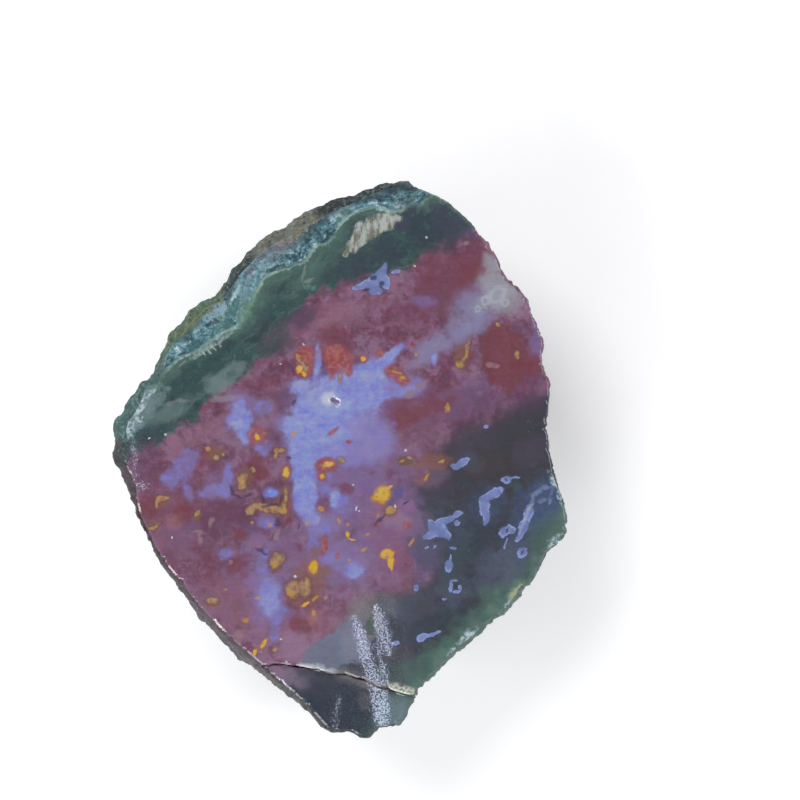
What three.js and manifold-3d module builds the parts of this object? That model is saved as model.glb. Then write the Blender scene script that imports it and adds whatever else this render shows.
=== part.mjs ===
// Rough landscape agate: one hand-sized piece of moss agate, sawn across to show the picture inside it.
// It lies on its rough back with the sawn face up and level. Seen from above, the band of green rind runs
// along the upper left, and a cracked corner stands a little lower at the bottom.
// Units are millimetres, +Z is up, and the origin is on the ground under the middle of the stone.

import * as THREE from "three";
import { ImprovedNoise } from "three/addons/math/ImprovedNoise.js";
import { mergeVertices } from "three/addons/utils/BufferGeometryUtils.js";
import Module from "manifold-3d";

// Driving dimensions
const FACE_HEIGHT = 34; // from the ground to the sawn face
const STATIONS = 180; // columns of facets round the wall
const ROWS = 15; // rows of facets from the edge of the stone down to the ground
const BLEND = 5; // stations over which one stretch of wall turns into the next
const CORNER_DROP = 0.6; // how far the cracked corner stands below the face
const CRACK_WIDTH = 0.4;
const CRACK_DEPTH = 1.4;
const ABOVE = 2; // how far the cutting solids reach above the face
const OVERHANG = 8; // how far they reach past the sides of the stone
const BELOW_STONE = -70; // a y past the bottom of the stone
const PIT = { x: -0.9, y: 12.8, long: 1.35, wide: 0.95, deep: 1.5, turn: -35 };
const SHOULDER_HEIGHT = 0.6; // where the wall starts to turn inwards, as a share of its height
const HAUNCH_HEIGHT = 0.02; // the same for where it turns under to the foot
const HAUNCH_INSET = 0.3; // and how far in that is, as a share of the foot's inset
const LIP_FADE = 1 / 4; // share of the wall under the lip over which its lumps grow to full height
const FOOT_FADE = 1 / 5; // share of it above the foot over which they die away
const OFF_GROUND = 0.4; // how far the back stays off the ground round the foot
const CRACK_TAPER = 4; // points over which the crack opens from its left end
const WELD = 1e-4; // points closer than this are one

// The edge of the stone seen from above, clockwise from its top tip, in stretches of one character.
// lip is the width and drop of the broken edge round the sawn face. lean is how far the wall stands
// inside the edge halfway down, foot how far inside it meets the ground, and rough scales the lumps.
const EDGE = [
  {
    // Upper right break
    lip: [0.45, 0.6],
    lean: 2.5,
    foot: 32,
    rough: 0.8,
    points: [
      [15.2, 61.4], [16.5, 59.8], [19.6, 58.7], [25.7, 54.8], [29.9, 50.6], [34.3, 45.3],
      [36.1, 41.1], [40.5, 36.5], [42.9, 31.0], [45.1, 25.7],
    ],
  },
  {
    // Right break
    lip: [0.4, 0.6],
    lean: 4,
    foot: 28,
    rough: 0.9,
    points: [
      [44.6, 21.5], [46.3, 16.9], [46.4, 13.4], [45.8, 9.0], [46.5, 2.0], [47.5, -3.7],
      [49.7, -9.9], [50.3, -15.8],
    ],
  },
  {
    // Green crust
    lip: [1.1, 1.2],
    lean: 5,
    foot: 32,
    rough: 1.1,
    points: [
      [49.7, -18.0], [46.4, -20.4], [45.1, -22.4], [43.0, -26.4], [39.2, -31.2], [36.7, -34.3],
      [33.4, -36.1], [31.2, -38.7], [27.9, -41.4], [24.4, -44.4], [19.6, -49.1], [17.2, -51.5],
    ],
  },
  {
    // Cracked corner
    lip: [0.5, 1.1],
    lean: 4,
    foot: 38,
    rough: 0.9,
    points: [
      [16.3, -53.5], [15.1, -56.1], [13.6, -58.7], [8.8, -59.4], [6.8, -61.4], [5.2, -61.4],
      [2.2, -60.1], [-1.8, -60.5],
    ],
  },
  {
    // Lower left flank
    lip: [2.1, 4.2],
    lean: -2,
    foot: 28,
    rough: 0.9,
    points: [
      [-4.8, -57.9], [-8.8, -54.3], [-13.6, -50.6], [-20.2, -45.1], [-26.2, -40.0], [-31.5, -34.3],
    ],
  },
  {
    // Left break
    lip: [0.7, 0.9],
    lean: 1.5,
    foot: 28,
    rough: 0.8,
    points: [
      [-35.9, -27.9], [-39.4, -22.9], [-42.5, -16.5], [-44.2, -13.0], [-45.8, -8.8],
    ],
  },
  {
    // Left knob
    lip: [3.2, 3.2],
    lean: 1,
    foot: 29,
    rough: 1.2,
    points: [[-48.0, -3.1], [-50.3, 1.3], [-49.4, 4.2], [-49.7, 6.6], [-49.1, 8.6]],
  },
  {
    // Green rind
    lip: [1.6, 1.7],
    lean: 1,
    foot: 32,
    rough: 1.4,
    points: [
      [-47.3, 10.6], [-44.2, 15.8], [-41.2, 18.3], [-39.2, 24.0], [-35.8, 28.6], [-30.8, 34.1],
      [-26.6, 36.5], [-22.4, 42.5], [-20.1, 45.0],
    ],
  },
  {
    // Brown rind
    lip: [2.6, 2.0],
    lean: 0.5,
    foot: 34,
    rough: 1.2,
    points: [[-17.6, 47.6], [-13.0, 50.6], [-8.0, 53.5], [-2.0, 56.5]],
  },
  {
    // Top rind
    lip: [1.1, 1.4],
    lean: 2,
    foot: 34,
    rough: 1.2,
    points: [[2.4, 57.9], [8.8, 60.1], [12.5, 60.7]],
  },
];

// Flat breaks across the wall and the back: the compass direction each faces, how far it looks down,
// and its distance from the origin.
const BREAKS = [
  { faces: 6, down: 42, reach: 22.5 },
  { faces: -46, down: 28, reach: 29.5 },
  { faces: -88, down: 47, reach: 25 },
  { faces: -134, down: 35, reach: 28.5 },
  { faces: 174, down: 26, reach: 31.5 },
  { faces: 120, down: 44, reach: 25.5 },
  { faces: 64, down: 33, reach: 30.5 },
];

// Shell-shaped hollows that broken flakes left: the centre of the ball that fits each, as its compass
// direction, distance from the upright axis and height, and its radius.
const HOLLOWS = [
  { faces: 24, away: 66, height: 3, radius: 27 },
  { faces: -20, away: 58, height: -8, radius: 26 },
  { faces: -62, away: 66, height: 4, radius: 24 },
  { faces: -106, away: 74, height: 5, radius: 27 },
  { faces: -158, away: 60, height: -3, radius: 24 },
  { faces: 144, away: 58, height: -5, radius: 23 },
  { faces: 92, away: 74, height: 7, radius: 26 },
];

// Lumps of the rough skin: wavelength and height. Swells lie under the breaks, and pimples over them.
const SWELLS = [
  { length: 24, height: 4.5 },
  { length: 11, height: 2.2 },
];
const PIMPLES = [
  { length: 7, height: 1.2 },
  { length: 3.8, height: 0.6 },
];

// The crack that parts the lower corner from the face, from left to right.
const CRACK = [
  [-21.5, -46.0], [-17.8, -46.0], [-12.3, -45.3], [-9.2, -45.8], [-5.5, -46.3], [-1.8, -47.2],
  [2.0, -47.6], [6.6, -49.5], [10.8, -50.8], [14.3, -51.8], [20.2, -53.2],
];

const { degToRad } = THREE.MathUtils;
const noise = new ImprovedNoise();

// Each station's place on the edge and its wall's numbers, evenly spaced round the stone.
function stationsRound() {
  const knots = EDGE.flatMap((stretch) => stretch.points.map((point) => ({ point, stretch })));
  const edge = new THREE.CatmullRomCurve3(
    knots.map(({ point }) => new THREE.Vector3(point[0], point[1], 0)),
    true,
    "centripetal",
  );
  const stations = [];
  for (let i = 0; i < STATIONS; i++) {
    const along = edge.getUtoTmapping(i / STATIONS);
    const { stretch } = knots[Math.floor(along * knots.length) % knots.length];
    stations.push({ place: edge.getPoint(along), stretch });
  }
  return stations.map((station, i) => {
    const near = [];
    for (let k = -BLEND; k <= BLEND; k++) {
      near.push(stations[(i + k + STATIONS) % STATIONS].stretch);
    }
    const mean = (read) => near.reduce((sum, stretch) => sum + read(stretch), 0) / near.length;
    return {
      place: station.place,
      lipWidth: mean((s) => s.lip[0]),
      lipDrop: mean((s) => s.lip[1]),
      lean: mean((s) => s.lean),
      foot: mean((s) => s.foot),
      rough: mean((s) => s.rough),
    };
  });
}

// The sum of some lumps at a point.
function lumpsAt(point, lumps) {
  return lumps.reduce((sum, { length, height }) => {
    const { x, y, z } = point.clone().divideScalar(length);
    return sum + height * noise.noise(x, y, z + length);
  }, 0);
}

// How far from the upright axis the breaks and hollows leave stone, in one direction at one height.
function reachLeft(direction, height) {
  let reach = Infinity;
  for (const { faces, down, reach: distance } of BREAKS) {
    const [aside, tilt] = [direction - degToRad(faces), degToRad(down)];
    if (Math.cos(aside) <= 0) continue;
    const cut = (distance + height * Math.sin(tilt)) / (Math.cos(tilt) * Math.cos(aside));
    reach = Math.min(reach, cut);
  }
  for (const { faces, away, height: level, radius } of HOLLOWS) {
    const aside = direction - degToRad(faces);
    const inBall = radius ** 2 - (height - level) ** 2 - (away * Math.sin(aside)) ** 2;
    if (Math.cos(aside) <= 0 || inBall <= 0) continue;
    reach = Math.min(reach, away * Math.cos(aside) - Math.sqrt(inBall));
  }
  return reach;
}

// One column of the wall, from the edge of the stone down to the ground.
function column({ place, lipDrop, lean, foot, rough }) {
  const top = FACE_HEIGHT - lipDrop;
  const edge = Math.hypot(place.x, place.y);
  const direction = Math.atan2(place.y, place.x);
  const profile = new THREE.CubicBezierCurve(
    new THREE.Vector2(edge, top),
    new THREE.Vector2(edge - lean, top * SHOULDER_HEIGHT),
    new THREE.Vector2(edge - lean - foot * HAUNCH_INSET, top * HAUNCH_HEIGHT),
    new THREE.Vector2(edge - foot, 0),
  );
  const points = [];
  for (let row = 0; row <= ROWS; row++) {
    const along = row / ROWS;
    const at = profile.getPoint(along);
    const fade = rough * Math.min(1, along / LIP_FADE, (1 - along) / FOOT_FADE);
    const onWall = (radius, height) =>
      new THREE.Vector3(radius * Math.cos(direction), radius * Math.sin(direction), height);
    if (row > 0) {
      const { x: down, y: out } = profile.getTangent(along);
      const outward = new THREE.Vector2(-out, down);
      at.addScaledVector(outward, fade * lumpsAt(onWall(at.x, at.y), SWELLS));
      at.y = row < ROWS ? THREE.MathUtils.clamp(at.y, OFF_GROUND, top) : 0;
      at.x = Math.min(at.x, reachLeft(direction, at.y));
      at.x += fade * lumpsAt(onWall(at.x, at.y), PIMPLES);
    }
    points.push(onWall(at.x, at.y));
  }
  return points;
}

// The whole stone before the crack and the pit: the flat face, its lip, the wall and the flat foot.
function stoneGeometry() {
  const stations = stationsRound();
  const rim = stations.map(({ place, lipWidth }) =>
    place.clone().setLength(place.length() - lipWidth).setZ(FACE_HEIGHT),
  );
  const walls = stations.map(column);
  const rings = [rim];
  for (let row = 0; row <= ROWS; row++) rings.push(walls.map((wall) => wall[row]));

  const positions = rings.flat().flatMap((point) => point.toArray());
  const index = [];
  const at = (ring, i) => ring * STATIONS + (i % STATIONS);
  for (let ring = 0; ring + 1 < rings.length; ring++) {
    for (let i = 0; i < STATIONS; i++) {
      const [a, b] = [at(ring, i), at(ring, i + 1)];
      const [c, d] = [at(ring + 1, i), at(ring + 1, i + 1)];
      // The edge runs clockwise seen from above, so a, b, c faces outwards. Alternate diagonals.
      if ((ring + i) % 2) index.push(a, b, c, b, d, c);
      else index.push(a, b, d, a, d, c);
    }
  }
  const foot = rings.length - 1;
  for (const [a, b, c] of flatTriangles(rim)) index.push(a, b, c);
  for (const [a, b, c] of flatTriangles(rings[foot])) index.push(at(foot, a), at(foot, c), at(foot, b));

  const geometry = new THREE.BufferGeometry();
  geometry.setAttribute("position", new THREE.Float32BufferAttribute(positions, 3));
  geometry.setIndex(index);
  return geometry;
}

// Triangles that fill a ring of points on one level, facing up.
function flatTriangles(ring) {
  const flat = ring.map((point) => new THREE.Vector2(point.x, point.y));
  return THREE.ShapeUtils.triangulateShape(flat, []).map(([a, b, c]) => {
    const turn = flat[b].clone().sub(flat[a]).cross(flat[c].clone().sub(flat[a]));
    return turn > 0 ? [a, b, c] : [a, c, b];
  });
}

// A closed prism of a flat outline that reaches from a depth under the face to above it.
function prismUnderFace(points, depth) {
  const shape = new THREE.Shape(points.map(([x, y]) => new THREE.Vector2(x, y)));
  const geometry = new THREE.ExtrudeGeometry(shape, { depth: depth + ABOVE, bevelEnabled: false });
  return geometry.translate(0, 0, FACE_HEIGHT - depth);
}

// The gap of the crack: widest in the middle, closing towards its left end.
function crackGeometry() {
  const side = (sign) =>
    CRACK.map(([x, y], i) => [x, y + (sign * CRACK_WIDTH * Math.min(1, (i + 1) / CRACK_TAPER)) / 2]);
  return prismUnderFace([...side(-1), ...side(1).reverse()], CRACK_DEPTH);
}

// What lies over the cracked corner, from the crack down past the bottom of the stone.
function overCornerGeometry() {
  const [left, right] = [CRACK[0], CRACK[CRACK.length - 1]];
  const west = left[0] - OVERHANG;
  const east = right[0] + OVERHANG;
  const below = [[west, left[1]], [west, BELOW_STONE], [east, BELOW_STONE], [east, right[1]]];
  return prismUnderFace([...below, ...CRACK.slice().reverse()], CORNER_DROP);
}

// The small open vug in the middle of the pale patch, as the ball that cuts it.
function pitGeometry() {
  return new THREE.SphereGeometry(1, 14, 10)
    .scale(PIT.long, PIT.wide, PIT.deep)
    .rotateZ(degToRad(PIT.turn))
    .translate(PIT.x, PIT.y, FACE_HEIGHT);
}

const wasm = await Module();
wasm.setup();

// A three.js geometry as a solid that can be cut.
function solidOf(geometry) {
  const bare = new THREE.BufferGeometry();
  bare.setAttribute("position", geometry.getAttribute("position"));
  bare.setIndex(geometry.index);
  const merged = mergeVertices(bare, WELD);
  return new wasm.Manifold(
    new wasm.Mesh({
      numProp: 3,
      vertProperties: merged.getAttribute("position").array,
      triVerts: new Uint32Array(merged.index.array),
    }),
  );
}

// A cut solid as a three.js geometry again.
function geometryOf(solid) {
  const { vertProperties, triVerts } = solid.getMesh();
  const geometry = new THREE.BufferGeometry();
  geometry.setAttribute("position", new THREE.BufferAttribute(vertProperties, 3));
  geometry.setIndex(new THREE.BufferAttribute(triVerts, 1));
  geometry.computeVertexNormals();
  return geometry;
}

const stone = solidOf(stoneGeometry())
  .subtract(solidOf(overCornerGeometry()))
  .subtract(solidOf(crackGeometry()))
  .subtract(solidOf(pitGeometry()));

const agate = new THREE.Mesh(
  geometryOf(stone),
  new THREE.MeshStandardMaterial({ color: 0x664a5e, roughness: 0.3, metalness: 0 }),
);
agate.name = "agate";

const part = new THREE.Group();
part.add(agate);

export default part;
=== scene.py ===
# Rough landscape agate: the finished stone, lying on its rough back with its sawn face up.
# The camera looks straight down on it. Sizes are in metres, or in millimetres where a comment says mm.

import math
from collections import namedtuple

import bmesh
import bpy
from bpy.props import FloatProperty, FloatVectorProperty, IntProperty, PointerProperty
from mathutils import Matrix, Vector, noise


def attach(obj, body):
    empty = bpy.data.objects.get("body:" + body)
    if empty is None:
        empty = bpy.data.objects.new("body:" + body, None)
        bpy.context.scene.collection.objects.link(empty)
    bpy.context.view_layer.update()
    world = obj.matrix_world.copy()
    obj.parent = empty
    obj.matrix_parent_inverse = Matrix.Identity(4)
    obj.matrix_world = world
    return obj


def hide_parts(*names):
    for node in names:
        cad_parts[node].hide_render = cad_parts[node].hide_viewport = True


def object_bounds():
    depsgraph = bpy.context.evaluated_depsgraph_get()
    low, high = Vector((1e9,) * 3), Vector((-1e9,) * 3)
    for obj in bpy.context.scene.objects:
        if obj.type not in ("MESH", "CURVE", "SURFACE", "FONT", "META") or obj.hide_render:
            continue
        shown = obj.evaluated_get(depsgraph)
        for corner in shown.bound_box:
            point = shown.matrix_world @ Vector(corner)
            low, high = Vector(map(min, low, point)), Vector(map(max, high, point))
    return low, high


bl_info = {
    "name": "Rough landscape agate",
    "version": (1, 0, 0),
    "blender": (4, 5, 0),
    "location": "View3D > Sidebar > Agate",
    "description": "A moss agate with a sawn face, on a pale floor under soft light",
    "category": "Add Mesh",
}

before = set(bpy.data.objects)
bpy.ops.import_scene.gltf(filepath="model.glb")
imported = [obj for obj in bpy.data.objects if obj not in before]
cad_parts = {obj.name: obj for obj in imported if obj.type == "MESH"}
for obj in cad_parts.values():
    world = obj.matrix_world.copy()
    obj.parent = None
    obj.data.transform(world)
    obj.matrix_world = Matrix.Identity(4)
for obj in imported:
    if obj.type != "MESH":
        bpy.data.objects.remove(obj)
cad_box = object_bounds()

MM = 0.001
FACE = cad_box[1].z / MM  # height of the sawn face, mm
CORNER_DROP = 0.6  # how far the cracked corner stands below the face, mm
BAND_TURN = 38  # the bands of the stone run this many degrees up from +X
LOWER_LEFT = Vector((-0.8, -0.6, 0))  # where the sloping edge of the face is widest
ZONE_REACH = 70  # the zones' curves are drawn from minus this to plus this, mm
SPOT_REACH = 1.8  # a spot is felt as far out as this many times its half sizes
FRAY_FADE = 1.25  # how fast the fraying of a spot's edge fades away from the spot
QUARTZ_IOR = 1.54
POLISH_RELIEF = 0.002  # depth of the bumps left in the polish, mm
ROUGH_RELIEF = 0.5  # depth of the finest grain of the walls, mm

# The shape of the walls and of the edge of the face.
WELD = 0.002  # corners of the solid that are closer than this are one, mm
FOOT_LEVEL = 0.01  # what lies lower than this belongs to the flat foot, mm
WALL_BELOW = 0.05  # the walls stay this far below the edge of the face, mm
SMOOTH_IN = 0.5  # the share by which a round of smoothing draws the walls together
SMOOTH_OUT = -0.52  # the share by which it lets them out again, so that the stone keeps its size
RIM_ROUNDS = 4  # rounds of smoothing of the way out, along the edge of the face
FOOT_FADE = 2.5  # the walls grow rough over this height above the foot, mm
FULL_ROUGHNESS = 9  # from this far below the face down the walls are roughest, mm
CHIP_REACH = 5  # the chips of the edge run this far down the walls, mm
BELLY_TOP = 2.5  # how far below the face the lower left side is widest, mm
BELLY_END = 14  # how far below the face it is straight again, mm
SLOPE = 0.51  # how far the sloping edge of the face falls for each mm of its width

# How long the lumps of the noise are that shapes the stone, mm.
LUMPS = 6
RIDGES = 2.3
STEPS = 3.4
SKIN_PATCHES = 11
CHIPS = 2.1
CRUMBS = 0.8
SLOPE_WIDTHS = 3.1
SLOPE_BENDS = 4.3
SLOPE_RIPPLES = 0.9

# Where the weathered skin is, in mm across the bands and along them.
SKIN_BEGINS = 22  # how far across the bands it is half there
SKIN_FADE = 14  # it grows whole over this much
SKIN_LEFT_END = -30  # left of this it begins farther across
SKIN_RIGHT_END = 44  # right of this it comes to an end

# The colours of the skin over its green ground, after where each begins and is whole along the bands, mm.
SKIN_STRETCHES = [
    (1, 3, "rind_dark"), (11, 14, "rind_brown"), (27, 31, "rind_dark"), (46, 49, "deep_green"),
    (-16, -20, "rind_teal"),
]

# The lights that face a target, in metres and watts.
Lamp = namedtuple("Lamp", "name place target size power")
LAMPS = [
    Lamp("key", (-0.45, 0.55, 0.75), (0, 0, 0), (0.5, 0.5), 5.2),
    Lamp("fill", (0.75, 0.2, 0.6), (0, 0, 0), (0.5, 0.5), 3.6),
    Lamp("front", (-0.35, -0.75, 0.5), (0, 0, 0), (0.5, 0.3), 2.6),
    Lamp("edge", (-0.75, -0.5, 0.69), (0, 0, 0.03), (0.9, 0.12), 4),
]
STREAK_TINT = (0.7, 0.75, 1)
HORIZON = (0.92, 0.93, 0.95, 1)
CEILING = (0.06, 0.06, 0.07, 1)

# Places on the face are pixels of the photograph, read off it.
MIDDLE_X = 339  # the pixel over the stone's middle
MIDDLE_Y = 459
PIXEL = 0.22  # width of a pixel on the face, mm

# The crack between the face and the cracked corner, from left to right, mm.
CRACK = [
    (-21.5, -46.0), (-17.8, -46.0), (-12.3, -45.3), (-9.2, -45.8), (-5.5, -46.3), (-1.8, -47.2),
    (2.0, -47.6), (6.6, -49.5), (10.8, -50.8), (14.3, -51.8), (20.2, -53.2),
]

# White streaks that lamps leave on the polished face: ends and width in pixels, and how bright they are.
Streak = namedtuple("Streak", "name start end width glare")
STREAKS = [
    Streak("streak left", (354, 616), (380, 704), 12, 10),
    Streak("streak left low", (374, 668), (384, 732), 17, 10),
    Streak("streak right", (375, 604), (390, 656), 13, 10),
    Streak("streak middle", (376, 640), (389, 690), 3.4, 12),
    Streak("streak low", (340, 694), (333, 732), 3, 8), Streak("streak rim", (131, 424), (136, 482), 3, 7),
    Streak("glint", (136, 485), (147, 487), 5, 8),
]

# Where one zone of the stone turns into the next, pixels, from left to right.
BAND_INNER = [
    (65, 477), (135, 418), (150, 395), (165, 372), (181, 357), (201, 349), (222, 333), (240, 324),
    (250, 307), (263, 282), (276, 272), (305, 261), (317, 247), (331, 240), (346, 218), (370, 210),
    (394, 211), (410, 208), (462, 173),
]
BAND_OUTER = [
    (56, 466), (122, 410), (140, 382), (166, 344), (180, 336), (202, 316), (225, 301), (232, 282),
    (239, 269), (251, 256), (268, 249), (285, 246), (322, 218), (333, 207), (355, 200), (380, 192),
    (400, 188), (453, 162),
]
GREEN_TO_PLUM = [
    (79, 495), (132, 457), (150, 444), (190, 421), (204, 408), (219, 392), (236, 381), (254, 361),
    (277, 349), (289, 338), (292, 320), (303, 302), (316, 291), (340, 284), (353, 277), (409, 267),
    (440, 243), (475, 229), (498, 219),
]
PLUM_TO_SLATE = [
    (247, 710), (300, 668), (353, 629), (375, 599), (400, 593), (427, 583), (438, 562), (425, 526),
    (413, 498), (428, 478), (455, 441), (502, 418), (519, 402), (549, 392), (603, 370),
]
SLATE_TO_RIM = [
    (300, 778), (395, 690), (441, 636), (469, 614), (499, 579), (527, 559), (555, 500), (613, 441),
]

# A spot or cloud of the stone's pattern: the pixel of its middle, the half sizes of its oval in pixels,
# and the oval's turn in degrees. A cloud's strength is its share of the colour, and soft is half the width
# of its edge, as a share of its half sizes.
Spot = namedtuple("Spot", "px py long wide turn", defaults=(0,))
Cloud = namedtuple("Cloud", "colour strength px py long wide turn soft", defaults=(0, 0.45))

# Soft clouds, from the lowest to the top one.
CLOUDS = [
    Cloud("maroon", 0.75, 452, 280, 62, 30, 33), Cloud("rose", 0.55, 322, 322, 52, 16, 22),
    Cloud("brick", 0.35, 440, 262, 36, 16, 30), Cloud("rose", 0.45, 210, 428, 34, 9, 30),
    Cloud("dark_plum", 0.6, 300, 318, 14, 14, 30), Cloud("dark_plum", 0.45, 286, 400, 18, 12, 20),
    Cloud("maroon", 0.45, 255, 388, 26, 12, 30), Cloud("dark_plum", 0.6, 142, 466, 18, 20),
    Cloud("maroon", 0.5, 190, 500, 56, 44), Cloud("dark_plum", 0.5, 228, 520, 42, 22, 20),
    Cloud("violet", 0.25, 182, 534, 16, 14), Cloud("maroon", 0.35, 196, 566, 46, 26, -30),
    Cloud("rose", 0.6, 238, 600, 34, 30, -20), Cloud("violet", 0.5, 275, 565, 46, 34),
    Cloud("rose", 0.5, 305, 625, 42, 22, -10), Cloud("mauve", 0.75, 300, 648, 22, 20, -10),
    Cloud("violet", 0.6, 352, 500, 34, 44), Cloud("violet", 0.55, 370, 470, 46, 22, 15),
    Cloud("rose", 0.6, 398, 545, 36, 42), Cloud("violet", 0.5, 410, 520, 14, 40, 10),
    Cloud("mauve", 0.7, 396, 520, 14, 11), Cloud("magenta", 0.6, 392, 552, 22, 20),
    Cloud("violet", 0.7, 424, 562, 14, 18), Cloud("violet", 0.4, 362, 560, 40, 34, 20),
    Cloud("maroon", 0.6, 430, 408, 58, 22, 15), Cloud("violet", 0.35, 468, 398, 42, 16, 25),
    Cloud("dark_plum", 0.5, 505, 400, 50, 26, 28), Cloud("violet", 0.7, 541, 336, 12, 22, -6),
    Cloud("dark_plum", 0.4, 520, 328, 10, 8), Cloud("violet", 0.3, 472, 233, 7, 5, -30),
    Cloud("moss", 0.35, 262, 300, 16, 34, -45), Cloud("moss", 0.45, 306, 280, 26, 9, 38),
    Cloud("moss", 0.3, 345, 255, 34, 10, 22), Cloud("deep_green", 0.7, 196, 376, 34, 14, 40),
    Cloud("deep_green", 0.7, 280, 308, 14, 12, 20), Cloud("night", 0.4, 270, 330, 18, 22, 20),
    Cloud("night", 0.35, 282, 346, 20, 10, 30), Cloud("night", 0.7, 372, 258, 46, 15, 20),
    Cloud("night", 0.8, 428, 226, 34, 16, -32), Cloud("slate_violet", 0.6, 450, 221, 26, 14, -36),
    Cloud("grey_green", 0.5, 170, 412, 24, 10, 30), Cloud("grey_green", 0.6, 144, 408, 18, 12, 40, 0.3),
    Cloud("night", 0.5, 150, 436, 18, 10, 20), Cloud("umber", 0.75, 488, 456, 70, 34, 18),
    Cloud("umber", 0.35, 400, 612, 20, 10, 20), Cloud("night", 0.6, 450, 548, 46, 26, 30),
    Cloud("blue_slate", 0.55, 502, 562, 32, 20, 40), Cloud("deep_blue", 0.8, 540, 504, 20, 32, -30),
    Cloud("rim_green", 0.6, 548, 534, 16, 18, -20), Cloud("night", 0.5, 420, 620, 50, 20, 15),
    Cloud("blue_slate", 0.45, 430, 600, 40, 16, 20), Cloud("slate_patch", 0.5, 362, 614, 16, 8, 30),
    Cloud("salmon", 0.45, 313, 620, 8, 11, -12), Cloud("olive", 0.4, 384, 604, 20, 12, 30),
    Cloud("corner_grey", 0.85, 306, 684, 30, 12, -12), Cloud("corner_light", 0.9, 290, 678, 22, 8, -28),
    Cloud("mauve", 0.85, 274, 669, 12, 5, -32), Cloud("night", 0.85, 345, 706, 46, 26, -8),
    Cloud("teal_grey", 0.85, 396, 716, 20, 20), Cloud("rim_green", 0.5, 402, 672, 26, 14, 20),
    Cloud("ash", 0.3, 364, 701, 6, 10, 20), Cloud("maroon", 0.6, 520, 372, 24, 12, 15),
    Cloud("blue_slate", 0.4, 440, 530, 30, 24, 20), Cloud("blue_slate", 0.35, 450, 585, 16, 22),
    Cloud("deep_blue", 0.4, 486, 504, 18, 18), Cloud("dusk", 0.2, 150, 540, 40, 50, -30),
    Cloud("dusk", 0.45, 205, 620, 30, 24, -40), Cloud("dusk", 0.35, 330, 560, 50, 40),
    Cloud("dusk", 0.35, 400, 440, 40, 30, 20), Cloud("dusk", 0.3, 250, 430, 40, 26, 30),
    Cloud("purple_slate", 0.55, 534, 452, 22, 14, 20), Cloud("purple_slate", 0.5, 440, 486, 16, 12, 30),
    Cloud("brown_slate", 0.5, 486, 462, 24, 12, 24), Cloud("brown_slate", 0.4, 426, 606, 18, 9, 30),
    Cloud("purple_slate", 0.4, 396, 655, 16, 10), Cloud("green_slate", 0.5, 456, 568, 12, 30, -20),
    Cloud("blue_slate", 0.6, 506, 560, 20, 14, 40), Cloud("dark_plum", 0.6, 271, 493, 12, 9),
    Cloud("dark_plum", 0.5, 288, 398, 12, 9, 10), Cloud("night", 0.5, 402, 690, 30, 6, -20),
    Cloud("ash", 0.65, 362, 605, 15, 12, 20), Cloud("purple_slate", 0.55, 474, 444, 24, 15, 20),
    Cloud("blue_slate", 0.3, 472, 462, 13, 9), Cloud("mauve", 0.3, 428, 474, 16, 13),
    Cloud("night", 0.35, 300, 316, 15, 9, 30), Cloud("brown", 0.6, 428, 461, 19, 7, 4),
]

# Patches with a clear edge.
PATCHES = [
    Cloud("slate_patch", 0.92, 336, 650, 33, 17, 22, 0.14),
    Cloud("slate_patch", 0.8, 352, 640, 20, 22, 10, 0.2), Cloud("lilac_grey", 0.5, 350, 646, 9, 10, 0, 0.5),
    Cloud("grey_green", 0.65, 226, 377, 22, 9, 38, 0.25),
    Cloud("grey_green", 0.55, 214, 385, 10, 11, 20, 0.35),
    Cloud("deep_green", 0.4, 231, 374, 6, 3.4, 20, 0.5), Cloud("umber_ring", 0.4, 486, 352, 6, 34, 8, 0.3),
    Cloud("brick", 0.8, 503, 355, 20, 37, 4, 0.12),
]

# Pieces in the fibrous band.
BAND_PIECES = [
    Cloud("teal_pale", 0.75, 213, 312, 16, 7, 34, 0.12),
    Cloud("teal_pale", 0.5, 243, 288, 5, 14, -28, 0.16),
    Cloud("teal_bright", 0.7, 254, 284, 5, 22, -32, 0.3),
    Cloud("teal_pale", 0.4, 270, 262, 16, 5, 24, 0.25), Cloud("lilac_grey", 0.6, 276, 250, 24, 6, 22, 0.3),
    Cloud("lilac_grey", 0.5, 247, 268, 7, 9, 30, 0.3), Cloud("crust_olive", 0.85, 196, 318, 30, 5, 40, 0.2),
    Cloud("teal_deep", 0.6, 231, 282, 3, 16, -26, 0.3),
    Cloud("teal_glass", 0.9, 232, 310, 5, 12, -25, 0.14),
    Cloud("teal_glass", 0.85, 222, 326, 15, 5, 24, 0.16),
    Cloud("teal_glass", 0.8, 196, 346, 11, 6, 30, 0.2),
    Cloud("teal_glass", 0.6, 236, 280, 4, 10, -30, 0.25),
    Cloud("glass_green", 0.75, 244, 314, 6, 15, -28, 0.4),
    Cloud("glass_green", 0.4, 253, 296, 4, 12, -28, 0.4),
    Cloud("teal_pale", 0.4, 160, 362, 6, 14, -35, 0.3), Cloud("crust_grey", 0.7, 214, 342, 22, 4, 32, 0.25),
    Cloud("pale_line", 0.6, 212, 346, 34, 1.4, 32, 0.3),
    Cloud("crust_grey", 0.45, 156, 400, 16, 6, 50, 0.3), Cloud("moss", 0.6, 423, 203, 2.4, 14, -38, 0.3),
    Cloud("moss", 0.5, 414, 199, 2, 12, -34, 0.3), Cloud("moss", 0.4, 431, 207, 2, 12, -40, 0.3),
    Cloud("teal_pale", 0.3, 136, 428, 12, 3, 30, 0.3),
]

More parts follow.
